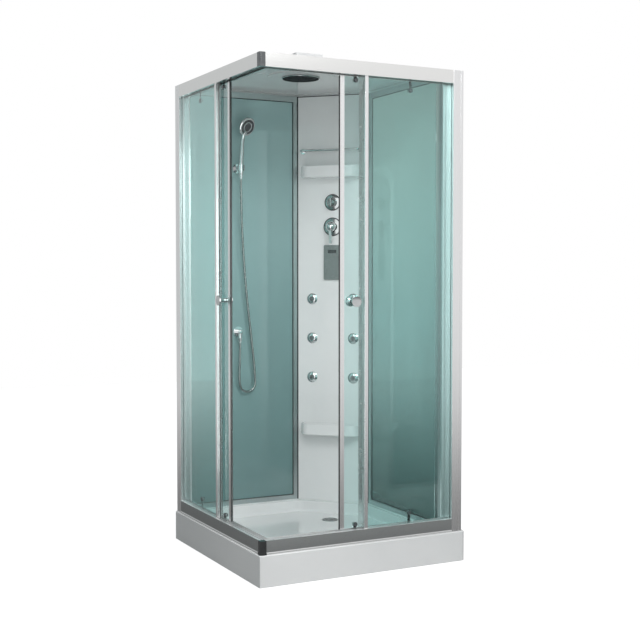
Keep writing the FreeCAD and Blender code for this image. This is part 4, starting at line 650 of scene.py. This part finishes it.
def make_gasket(side, width, height, centre, turn):
    """A flat frame round a pane's visible opening: inset a sheet, drop its middle, thicken it."""
    select_none()
    bpy.ops.mesh.primitive_plane_add(size=1, location=(0, 0, 0))
    piece = start_piece(f"pane_gasket_{side}")
    piece.scale = (width, height, 1)
    bpy.ops.object.transform_apply(location=False, rotation=False, scale=True)
    bpy.ops.object.mode_set(mode="EDIT")
    bpy.ops.mesh.select_all(action="SELECT")
    bpy.ops.mesh.inset(thickness=GASKET_WIDTH, depth=0)
    bpy.ops.mesh.delete(type="FACE")
    bpy.ops.mesh.select_all(action="SELECT")
    bpy.ops.mesh.extrude_region_move(TRANSFORM_OT_translate={"value": (0, 0, GASKET_RISE)})
    bpy.ops.mesh.select_all(action="SELECT")
    bpy.ops.mesh.normals_make_consistent(inside=False)
    bpy.ops.object.mode_set(mode="OBJECT")
    piece.location = centre
    piece.rotation_euler = (math.radians(90), 0, math.radians(turn))
    return settle(piece, gasket_rubber, "cabin")


def opening_of(frame_node, glass_node, along):
    """The pane's visible opening between the bars, and the height of its middle."""
    low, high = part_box(frame_node)
    span = high[along] - low[along] - 2 * STILE_WIDTH
    rise = high[2] - low[2] - 2 * RAIL_WIDTH
    return span, rise, (low[along] + high[along]) / 2, (low[2] + high[2]) / 2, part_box(glass_node)[0]


span, rise, middle, mid_height, glass_low = opening_of("wall_frame_left", "wall_glass_left", 0)
make_gasket("left", span, rise, (middle, glass_low[1], mid_height), 0)
span, rise, middle, mid_height, glass_low = opening_of("wall_frame_right", "wall_glass_right", 1)
make_gasket("right", span, rise, (glass_low[0], middle, mid_height), -90)

# The joints of the corner: a black strip is pressed in along both edges of the column and under
# the ceiling; along the column's edges it also stands in for the dark gap there, painted shade. A
# bead of white silicone, smoothed with a wet finger, closes the walls' and the column's foot.

STRIP_LEG = 3.2 * MM
STRIP_FOOT_GAP = 0.5 * MM
STRIP_HEAD_GAP = 1 * MM
SILICONE_LEG = 4.5 * MM
DECK = 118 * MM
CEILING = 1928 * MM
COLUMN_LEFT = (130, 418)
COLUMN_RIGHT = (362, 186)
WALL_END_LEFT = (-396, 418)
WALL_END_RIGHT = (362, -396)
WALL_TO_COLUMN = 135
FLOOR_TO_WALL = 90
DIAGONAL = 0.7071
LEAN = math.radians(22.5)
# a bead starts as a triangle in a circle of radius 1, with these sizes
TRIANGLE_HALF_SIDE = math.cos(math.radians(30))
TRIANGLE_HEIGHT = 1.5
BEAD_ROUNDING = 0.07

silicone = worn_finish(
    "white silicone", (0.78, 0.80, 0.79), (0.80, 0.82, 0.81), (0.70, 0.72, 0.71),
    dict(scale=30, clean=0.25, smeared=0.4, skin_scale=200, skin_height=0.0002),
    subsurface_weight=0.05,
)


def make_bead(name, start, end, inward, leg, corner_degrees, finish):
    """A three-sided bar with rounded edges, its first edge in the corner and its face inward."""
    half = math.radians(corner_degrees) / 2
    along = Vector(end) - Vector(start)
    select_none()
    bpy.ops.mesh.primitive_cylinder_add(vertices=3, radius=1, depth=along.length)
    bead = start_piece(name)
    width = leg * math.sin(half) / TRIANGLE_HALF_SIDE
    depth = leg * math.cos(half) / TRIANGLE_HEIGHT
    bead.data.transform(Matrix.Diagonal((width, depth, 1, 1)))
    bead.data.transform(Matrix.Translation((0, -depth, 0)))
    bpy.ops.object.mode_set(mode="EDIT")
    bpy.ops.mesh.select_all(action="SELECT")
    bpy.ops.mesh.bevel(offset=leg * BEAD_ROUNDING, segments=2)
    bpy.ops.object.mode_set(mode="OBJECT")
    ahead = along.normalized()
    back = -Vector(inward).normalized()
    across = back.cross(ahead)
    turn = Matrix((across, back, ahead)).transposed().to_4x4()
    middle = (Vector(start) + Vector(end)) / 2
    bead.data.transform(Matrix.Translation(middle) @ turn)
    turn_outward(bead)
    bpy.ops.object.shade_smooth_by_angle(angle=math.radians(40))
    return settle(bead, finish, "cabin")


def on_deck(place, height):
    """A point in metres, from a place in millimetres and a height in metres."""
    return place[0] * MM, place[1] * MM, height


leftward_out = (-math.sin(LEAN), -math.cos(LEAN), 0)
rightward_out = (-math.cos(LEAN), -math.sin(LEAN), 0)
# the strips along the column's edges put a dark line where the joint's gap shows as shade: painted shade
for name, corner, inward in (
    ("column_strip_left", COLUMN_LEFT, leftward_out),
    ("column_strip_right", COLUMN_RIGHT, rightward_out),
):
    foot = on_deck(corner, DECK + STRIP_FOOT_GAP)
    head = on_deck(corner, CEILING - STRIP_HEAD_GAP)
    make_bead(name, foot, head, inward, STRIP_LEG, WALL_TO_COLUMN, gasket_rubber)
top_start = on_deck(COLUMN_LEFT, CEILING)
top_end = on_deck(COLUMN_RIGHT, CEILING)
make_bead(
    "column_strip_top", top_start, top_end, (-DIAGONAL, -DIAGONAL, -1), STRIP_LEG, FLOOR_TO_WALL,
    gasket_rubber,
)
for name, first, second, inward in (
    ("silicone_left", WALL_END_LEFT, COLUMN_LEFT, (0, -1, 1)),
    ("silicone_column", COLUMN_LEFT, COLUMN_RIGHT, (-DIAGONAL, -DIAGONAL, 1)),
    ("silicone_right", COLUMN_RIGHT, WALL_END_RIGHT, (-1, 0, 1)),
):
    start = on_deck(first, DECK)
    end = on_deck(second, DECK)
    make_bead(name, start, end, inward, SILICONE_LEG, FLOOR_TO_WALL, silicone)

# The fittings on the column: chromed covers, knobs, jets and a towel rail, with a dark rubber ring
# under each of the two cover plates and grey ball nozzles in the jets. The water valve behind the
# column is cast brass.

jet_plastic = worn_finish(
    "jet nozzle plastic", (0.16, 0.18, 0.185), (0.17, 0.19, 0.195), (0.11, 0.125, 0.13),
    dict(scale=60, clean=0.16, smeared=0.3, skin_scale=300, skin_height=0.00005),
    coat_weight=0.4,
)

brass = worn_finish(
    "cast brass", (0.72, 0.55, 0.28), (0.74, 0.57, 0.30), (0.56, 0.42, 0.22),
    dict(scale=30, clean=0.3, smeared=0.5, skin_scale=150, skin_height=0.0004),
    metallic=1.0,
)

# the cover plates, the mixer's cap and the diverter knob are the same chrome with a darker base colour:
# painted shade for the dark cabin that they mirror
chrome_darkened_as_painted_shade = make_chrome("chrome darkened as painted shade", (0.34, 0.36, 0.36), (0.25, 0.27, 0.27))
dress(chrome_darkened_as_painted_shade, "valve_cover_plates", "mixer_cap", "diverter_knob")
dress(chrome, "towel_rail", "mixer_lever", "jet_bezels")
dress(brass, "water_valve")
for level in ("top", "middle", "bottom"):
    for side in ("left", "right"):
        dress(jet_plastic, f"jet_nozzle_{level}_{side}")

COLUMN_MIDDLE = (246 * MM, 302 * MM)
RING_RISE = 2.4 * MM
RING_PROUD = 2.2 * MM
RING_BACK = 3 * MM
RING_SIDES = 96
RING_CROWN = 0.12
RING_CHAMFER = 0.3


def make_plate_ring(name, plate_radius, height):
    """A washer under a round cover plate: a drum whose two ends are opened and bridged."""
    select_none()
    bpy.ops.mesh.primitive_cylinder_add(
        vertices=RING_SIDES, radius=plate_radius + RING_PROUD, depth=RING_RISE, location=(0, 0, 0),
    )
    ring = start_piece(name)
    bpy.ops.object.mode_set(mode="EDIT")
    pick_faces(ring, lambda centre, normal: abs(normal.z) > 0.9)
    bpy.ops.mesh.inset(thickness=RING_PROUD * RING_CHAMFER, depth=RING_RISE * RING_CROWN)
    bpy.ops.mesh.inset(thickness=RING_PROUD * (1 - RING_CHAMFER) + RING_BACK, depth=0)
    bpy.ops.mesh.delete(type="FACE")
    bpy.ops.mesh.select_mode(type="EDGE")
    bpy.ops.mesh.select_non_manifold()
    bpy.ops.mesh.bridge_edge_loops()
    bpy.ops.object.mode_set(mode="OBJECT")
    flat = Matrix.Diagonal((1, 1, 1 / (1 + 2 * RING_CROWN), 1))
    stand = Matrix.Rotation(math.radians(-45), 4, "Z") @ Matrix.Rotation(math.radians(90), 4, "X")
    foot = Vector((*COLUMN_MIDDLE, height)) + Vector((-1, -1, 0)).normalized() * RING_RISE / 2
    ring.data.transform(Matrix.Translation(foot) @ stand @ flat)
    turn_outward(ring)
    bpy.ops.object.shade_smooth_by_angle(angle=math.radians(35))
    return settle(ring, gasket_rubber, "cabin")


make_plate_ring("mixer_plate_ring", plate_radius=39 * MM, height=1348 * MM)
make_plate_ring("diverter_plate_ring", plate_radius=34.5 * MM, height=1456 * MM)

# The control panel: a moulded case under a grey-green keypad film, pressed out into small key
# domes over its switches. A dark window covers the display. The case is fixed to the column.

case_plastic = worn_finish(
    "panel film", (0.20, 0.245, 0.24), (0.21, 0.255, 0.25), (0.175, 0.215, 0.21),
    dict(scale=40, clean=0.22, smeared=0.32, skin_scale=600, skin_height=0.00004),
    coat_weight=0.3,
)

display = worn_finish(
    "display window", (0.015, 0.02, 0.022), (0.012, 0.016, 0.018), (0.025, 0.03, 0.033),
    dict(scale=60, clean=0.06, smeared=0.14, skin_scale=200, skin_height=0.00002),
    coat_weight=1.0,
)

dress(case_plastic, "control_panel")
dress(display, "control_display")

# The rain head and the housing on the roof: a chromed ring round a black spray plate, and a pale
# moulded cover over the fan and light.

spray_black = worn_finish(
    "spray plate black", (0.02, 0.024, 0.026), (0.016, 0.02, 0.022), (0.035, 0.04, 0.043),
    dict(scale=40, clean=0.55, smeared=0.75, skin_scale=300, skin_height=0.00008),
    ior=1.2,
)

housing_plastic = worn_finish(
    "housing plastic", (0.80, 0.81, 0.81), (0.80, 0.81, 0.81), (0.72, 0.73, 0.735),
    dict(scale=20, clean=0.4, smeared=0.55, skin_scale=500, skin_height=0.0002),
)

dress(chrome, "rain_head")
dress(housing_plastic, "roof_housing")

PLATE_RADIUS = 73 * MM
PLATE_DROP = 1.6 * MM
PLATE_SIDES = 96
NOZZLE_RADIUS = 1.5 * MM
NOZZLE_DROP = 1.6 * MM
NOZZLE_SIDES = 10
NOZZLE_TAPER = 0.6
RAIN_RINGS = [(10 * MM, 6), (23 * MM, 12), (37 * MM, 18), (50 * MM, 24), (63 * MM, 30)]
# shares of a spray plate's radius, and of its drop, that its rim, dish and raised middle take
RIM_WIDTH = 0.06
DISH_WALL, DISH_DEPTH = 0.03, 0.35
DISH_WIDTH = 0.35
MIDDLE_WALL, MIDDLE_RISE = 0.04, 0.25


def ring_places(rings):
    """Places on rings about the middle: each ring has a radius and a count."""
    for radius, count in rings:
        for index in range(count):
            angle = 2 * math.pi * index / count
            yield radius * math.cos(angle), radius * math.sin(angle)


def make_spray_plate(name, radius, drop, rings, nozzle, finish, body, matrix):
    """A dished plate with soft nozzles, all modelled facing +Z, joined and then moved to place."""
    nozzle_radius, nozzle_drop = nozzle
    select_none()
    bpy.ops.mesh.primitive_cylinder_add(
        vertices=PLATE_SIDES, radius=radius, depth=drop, location=(0, 0, drop / 2),
    )
    plate = start_piece(name)
    bpy.ops.object.transform_apply(location=True)
    bpy.ops.object.mode_set(mode="EDIT")
    pick_faces(plate, lambda centre, normal: normal.z > 0.9)
    bpy.ops.mesh.inset(thickness=radius * RIM_WIDTH, depth=0)
    bpy.ops.mesh.inset(thickness=radius * DISH_WALL, depth=-drop * DISH_DEPTH)
    bpy.ops.mesh.inset(thickness=radius * DISH_WIDTH, depth=0)
    bpy.ops.mesh.inset(thickness=radius * MIDDLE_WALL, depth=drop * MIDDLE_RISE)
    bpy.ops.object.mode_set(mode="OBJECT")
    made = [plate]
    for x, y in ring_places(rings):
        select_none()
        bpy.ops.mesh.primitive_cone_add(
            vertices=NOZZLE_SIDES, radius1=nozzle_radius, radius2=nozzle_radius * NOZZLE_TAPER,
            depth=nozzle_drop, location=(x, y, drop * (1 - DISH_DEPTH) + nozzle_drop / 2),
        )
        made.append(bpy.context.object)
    join_pieces(plate, made)
    plate.data.transform(matrix)
    bpy.ops.object.shade_smooth_by_angle(angle=math.radians(35))
    return settle(plate, finish, body)


rain_low, rain_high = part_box("rain_head")
rain_x = (rain_low[0] + rain_high[0]) / 2
rain_y = (rain_low[1] + rain_high[1]) / 2
face_down = Matrix.Translation((rain_x, rain_y, rain_low[2])) @ Matrix.Rotation(math.pi, 4, "X")
make_spray_plate(
    "rain_spray_plate", PLATE_RADIUS, PLATE_DROP, RAIN_RINGS, (NOZZLE_RADIUS, NOZZLE_DROP),
    spray_black, "cabin", face_down,
)

# The hand shower: a chromed plastic body with a grey spray plate and rings of soft nozzles. It
# stands in a chromed fork on a disc that is fixed to the left wall glass. The chromed outlet of
# the hose is fixed to the same glass.

HEAD_CENTRE = Vector((-0.139, 0.361, 1.773))
HEAD_TURN = math.radians(18.6)
HEAD_TIP = math.radians(113.6)
HEAD_FORWARD = 2.2 * MM
FACE_RADIUS = 33 * MM
FACE_DROP = 1.4 * MM
SOFT_NOZZLE_RADIUS = 0.9 * MM
SOFT_NOZZLE_DROP = 1.1 * MM
HAND_RINGS = [(6 * MM, 6), (13 * MM, 12), (20 * MM, 18), (27 * MM, 24)]

spray_grey = worn_finish(
    "spray plate grey", (0.13, 0.14, 0.145), (0.14, 0.15, 0.155), (0.10, 0.11, 0.115),
    dict(scale=60, clean=0.45, smeared=0.6, skin_scale=300, skin_height=0.00005),
    ior=1.3,
)

dress(chrome, "holder_base", "holder_fork", "hand_shower", "hose_outlet")
head_place = (
    Matrix.Translation(HEAD_CENTRE)
    @ Matrix.Rotation(HEAD_TURN, 4, "Z")
    @ Matrix.Rotation(HEAD_TIP, 4, "X")
    @ Matrix.Translation((0, 0, HEAD_FORWARD))
)
make_spray_plate(
    "hand_spray_plate", FACE_RADIUS, FACE_DROP, HAND_RINGS, (SOFT_NOZZLE_RADIUS, SOFT_NOZZLE_DROP),
    spray_grey, "hand_shower_body", head_place,
)

# The hose: a wound metal tube of 10 mm with a limp core, which hangs from the handle, swings out
# and loops back up to the wall outlet. Its route repeats the part's points.

HOSE_POINTS = [
    (-163, 377, 1569),
    (-163, 377, 1470),
    (-154, 390, 1350),
    (-145, 394, 1222),
    (-134, 398, 1100),
    (-121, 401, 985),
    (-107, 403, 880),
    (-94, 405, 775),
    (-86, 406, 690),
    (-84, 406, 645),
    (-107, 405.5, 622),
    (-139, 404, 622),
    (-161, 402, 645),
    (-163, 401, 700),
    (-160, 399, 779),
    (-160, 399, 859),
]
HOSE_RADIUS = 5 * MM
WIND_PITCH = 2.6 * MM
WIND_DEPTH = 0.55 * MM
HOSE_SIDES = 14

hose_metal = worn_finish(
    "wound hose metal", (0.34, 0.37, 0.365), (0.35, 0.38, 0.375), (0.26, 0.29, 0.285),
    dict(scale=60, clean=0.18, smeared=0.32, skin_scale=400, skin_height=0.00003),
    metallic=1.0,
)


def route_points(name, points):
    """Points along the smooth NURBS line through a route's control points."""
    curve = bpy.data.curves.new(name, "CURVE")
    curve.dimensions = "3D"
    spline = curve.splines.new("NURBS")
    spline.points.add(len(points) - 1)
    for point, place in zip(spline.points, points):
        point.co = (place[0] * MM, place[1] * MM, place[2] * MM, 1)
    spline.order_u = 3
    spline.use_endpoint_u = True
    curve.resolution_u = 48
    line = bpy.data.objects.new(name, curve)
    bpy.context.scene.collection.objects.link(line)
    mesh = bpy.data.meshes.new_from_object(line)
    places = [vertex.co.copy() for vertex in mesh.vertices]
    bpy.data.objects.remove(line)
    bpy.data.meshes.remove(mesh)
    return places


def evenly(places, step):
    """Walk along a line of points at an even step."""
    walked = [places[0]]
    spare = step
    for start, end in zip(places, places[1:]):
        run = (end - start).length
        while run >= spare:
            start = start + (end - start) * (spare / run)
            walked.append(start)
            run = (end - start).length
            spare = step
        spare -= run
    walked.append(places[-1])
    return walked


def make_tube(name, places, radii, sides):
    """A closed tube through the places, whose rings turn as little as they can."""
    mesh = bmesh.new()
    rings = []
    side = Vector((1, 0, 0))
    for index, place in enumerate(places):
        before = places[max(index - 1, 0)]
        after = places[min(index + 1, len(places) - 1)]
        ahead = (after - before).normalized()
        side = (side - ahead * side.dot(ahead)).normalized()
        across = ahead.cross(side)
        ring = []
        for step in range(sides):
            angle = 2 * math.pi * step / sides
            outward = side * math.cos(angle) + across * math.sin(angle)
            ring.append(mesh.verts.new(place + outward * radii[index]))
        rings.append(ring)
    for first, second in zip(rings, rings[1:]):
        for step in range(sides):
            after = (step + 1) % sides
            mesh.faces.new((first[step], first[after], second[after], second[step]))
    mesh.faces.new(list(reversed(rings[0])))
    mesh.faces.new(rings[-1])
    data = bpy.data.meshes.new(name)
    mesh.to_mesh(data)
    mesh.free()
    tube = bpy.data.objects.new(name, data)
    bpy.context.scene.collection.objects.link(tube)
    return tube


hose_line = route_points("hose_route", HOSE_POINTS)
windings = evenly(hose_line, WIND_PITCH / 2)
winding_radii = [HOSE_RADIUS - (WIND_DEPTH if index % 2 else 0) for index in range(len(windings))]
hose = make_tube("wound_hose", windings, winding_radii, HOSE_SIDES)
hose.data.materials.append(hose_metal)
for face in hose.data.polygons:
    face.use_smooth = True
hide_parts("shower_hose")
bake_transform(hose)

# The hose nuts: turned brass cones with a polished chrome skin and a fluted grip. One is screwed to
# the hand shower's foot and the other to the wall outlet, each over an end of the hose.

NUT_LENGTH = 17 * MM
NUT_RADIUS = 8.2 * MM
NUT_TAPER = 0.72
NUT_GAP = 0.2 * MM
NUT_RIM = 0.6 * MM
NUT_THROAT = 2.5 * MM
NUT_FLUTES = 24
FLUTE_LAND = 0.15 * MM
FLUTE_DEPTH = 0.4 * MM


def is_flute(centre, normal):
    """Every other face round the nut's middle."""
    turn = math.degrees(math.atan2(centre.y, centre.x)) / (180 / NUT_FLUTES)
    on_side = abs(normal.z) < 0.5 and abs(centre.z) < NUT_LENGTH / 4
    return on_side and round(turn - 0.5) % 2 == 0


def make_nut(name, top, body):
    select_none()
    bpy.ops.mesh.primitive_cylinder_add(
        vertices=NUT_FLUTES * 2, radius=NUT_RADIUS, depth=NUT_LENGTH, location=(0, 0, 0),
    )
    nut = start_piece(name)
    bpy.ops.object.mode_set(mode="EDIT")
    pick_faces(nut, lambda centre, normal: normal.z < -0.9)
    bpy.ops.transform.resize(value=(NUT_TAPER, NUT_TAPER, 1))
    bpy.ops.mesh.inset(thickness=NUT_RIM, depth=0)
    bpy.ops.mesh.extrude_region_move(TRANSFORM_OT_translate={"value": (0, 0, -NUT_THROAT)})
    pick_faces(nut, is_flute)
    bpy.ops.mesh.inset(thickness=FLUTE_LAND, depth=-FLUTE_DEPTH, use_individual=True)
    bpy.ops.object.mode_set(mode="OBJECT")
    nut.data.transform(Matrix.Translation(top - Vector((0, 0, NUT_LENGTH / 2 + NUT_GAP))))
    bpy.ops.object.shade_smooth_by_angle(angle=math.radians(30))
    return settle(nut, chrome, body)


make_nut("hose_nut_upper", Vector((-0.163, 0.377, 1.569)), "hand_shower_body")
make_nut("hose_nut_lower", Vector((-0.160, 0.399, 0.859)), "cabin")

# The studio: a pale floor that keeps the cabin's shadow, a white background, and soft light that
# comes mostly from the front right, as in the photograph. None of it is part of the cabin.

FLOOR_SIZE = 14
FLOOR_REACH = FLOOR_SIZE / 2
FLOOR_DROP = 0.5 * MM
FLOOR_GLOW = 0.78
# the floor's tone in a mirror: even near the cabin, then graded to its front and back edge, where
# it meets the background's own mirrored tone
MIRRORED_FROM = 1.5
MIRRORED_NEAR, MIRRORED_FRONT, MIRRORED_BACK = 0.2, 0.795, 0.70
BRIGHT_SIDE = (0.35, -0.9, 0.2)
MIRRORED_SHARE = 0.52


def make_floor():
    """A lit floor where it is seen, and an even tone where it is only mirrored, which adds no noise."""
    select_none()
    bpy.ops.mesh.primitive_plane_add(size=FLOOR_SIZE, location=(0, 0, -FLOOR_DROP))
    floor = start_piece("studio_floor")
    finish, tree, shader = new_finish("pale floor", (0.62, 0.62, 0.62), roughness=0.6)
    path = put(tree, "ShaderNodeLightPath")
    straight = put(tree, "ShaderNodeMath", {
        0: path.outputs["Is Camera Ray"], 1: path.outputs["Is Transmission Ray"],
    }, operation="MAXIMUM")
    glow = put(tree, "ShaderNodeMath", {
        0: straight.outputs["Value"], 1: FLOOR_GLOW,
    }, operation="MULTIPLY")
    shader.inputs["Emission Color"].default_value = (1, 1, 1, 1)
    tree.links.new(glow.outputs["Value"], shader.inputs["Emission Strength"])
    place = put(tree, "ShaderNodeTexCoord")
    split = put(tree, "ShaderNodeSeparateXYZ", {"Vector": place.outputs["Object"]})
    edge_tone = put(tree, "ShaderNodeMapRange", {
        "Value": split.outputs["Y"], "From Min": -FLOOR_REACH, "From Max": FLOOR_REACH,
        "To Min": MIRRORED_FRONT, "To Max": MIRRORED_BACK,
    })
    distance = put(tree, "ShaderNodeVectorMath", {0: place.outputs["Object"]}, operation="LENGTH")
    outward = put(tree, "ShaderNodeMapRange", {
        "Value": distance.outputs["Value"], "From Min": MIRRORED_FROM, "From Max": FLOOR_REACH,
    })
    tone = put(tree, "ShaderNodeMix", {
        0: outward.outputs["Result"], 2: MIRRORED_NEAR, 3: edge_tone.outputs["Result"],
    }, data_type="FLOAT")
    even = put(tree, "ShaderNodeEmission", {"Strength": tone.outputs[0]})
    either = put(tree, "ShaderNodeMixShader", {
        0: path.outputs["Is Glossy Ray"], 1: shader.outputs["BSDF"], 2: even.outputs["Emission"],
    })
    tree.links.new(either.outputs["Shader"], tree.nodes["Material Output"].inputs["Surface"])
    floor.data.materials.append(finish)


def make_world():
    """White where it is seen directly. Elsewhere one side is bright and the other dim."""
    world = bpy.data.worlds.new("studio")
    bpy.context.scene.world = world
    world.use_nodes = True
    tree = world.node_tree
    tree.nodes.clear()
    place = put(tree, "ShaderNodeTexCoord")
    towards = put(tree, "ShaderNodeVectorMath", operation="DOT_PRODUCT")
    tree.links.new(place.outputs["Generated"], towards.inputs[0])
    towards.inputs[1].default_value = Vector(BRIGHT_SIDE).normalized()
    turned = put(tree, "ShaderNodeMapRange", {
        "Value": towards.outputs["Value"], "From Min": -1, "From Max": 1,
    })
    ramp = put(tree, "ShaderNodeValToRGB", {"Fac": turned.outputs["Result"]})
    ramp.color_ramp.elements[0].color = (0.09, 0.115, 0.12, 1)
    ramp.color_ramp.elements[1].color = (0.58, 0.58, 0.58, 1)
    path = put(tree, "ShaderNodeLightPath")
    seen = put(tree, "ShaderNodeMath", {
        0: path.outputs["Is Camera Ray"], 1: path.outputs["Is Transmission Ray"],
    }, operation="MAXIMUM")
    mirrored = put(tree, "ShaderNodeMath", {
        0: path.outputs["Is Glossy Ray"], 1: MIRRORED_SHARE,
    }, operation="MULTIPLY")
    plain = put(tree, "ShaderNodeMath", {
        0: seen.outputs["Value"], 1: mirrored.outputs["Value"],
    }, operation="MAXIMUM")
    colour = put(tree, "ShaderNodeMix", data_type="RGBA")
    tree.links.new(plain.outputs["Value"], colour.inputs[0])
    tree.links.new(ramp.outputs["Color"], colour.inputs[6])
    colour.inputs[7].default_value = (1, 1, 1, 1)
    back = put(tree, "ShaderNodeBackground", {"Color": colour.outputs[2], "Strength": 1})
    end = put(tree, "ShaderNodeOutputWorld")
    tree.links.new(back.outputs["Background"], end.inputs["Surface"])


def make_lamp(name, place, target, size, power):
    data = bpy.data.lights.new(name, "AREA")
    data.shape = "RECTANGLE"
    data.size, data.size_y = size
    data.energy = power
    lamp = bpy.data.objects.new(name, data)
    bpy.context.scene.collection.objects.link(lamp)
    lamp.location = place
    lamp.rotation_euler = (Vector(target) - Vector(place)).to_track_quat("-Z", "Y").to_euler()


make_floor()
make_world()
make_lamp("key lamp", (-0.3, -3.5, 3.3), (0, 0, 0.9), size=(1.4, 1.2), power=64)
make_lamp("inside lamp", (-0.34, -0.36, 1.0), (0.22, 0.28, 0.75), size=(0.3, 1.5), power=2.3)
make_lamp("top lamp", (0.2, -0.2, 4.6), (0, 0, 0), size=(2.6, 2.6), power=14)

# The camera: solved from the photograph's parallel edges. It stands in front of the cabin's left
# side at chest height and looks a little down.

CAMERA_PLACE = (-2.1349, -4.1926, 1.1518)
CAMERA_YAW = 27.28
CAMERA_PITCH = -2.455
CAMERA_LENS = 64.24
CAMERA_SENSOR = 36

lens = bpy.data.cameras.new("photo camera")
lens.lens = CAMERA_LENS
lens.sensor_width = CAMERA_SENSOR
camera = bpy.data.objects.new("photo camera", lens)
bpy.context.scene.collection.objects.link(camera)
camera.location = CAMERA_PLACE
camera.rotation_euler = (math.radians(90 + CAMERA_PITCH), 0, math.radians(-CAMERA_YAW))
bpy.context.scene.camera = camera
bpy.context.scene.view_settings.view_transform = "Standard"
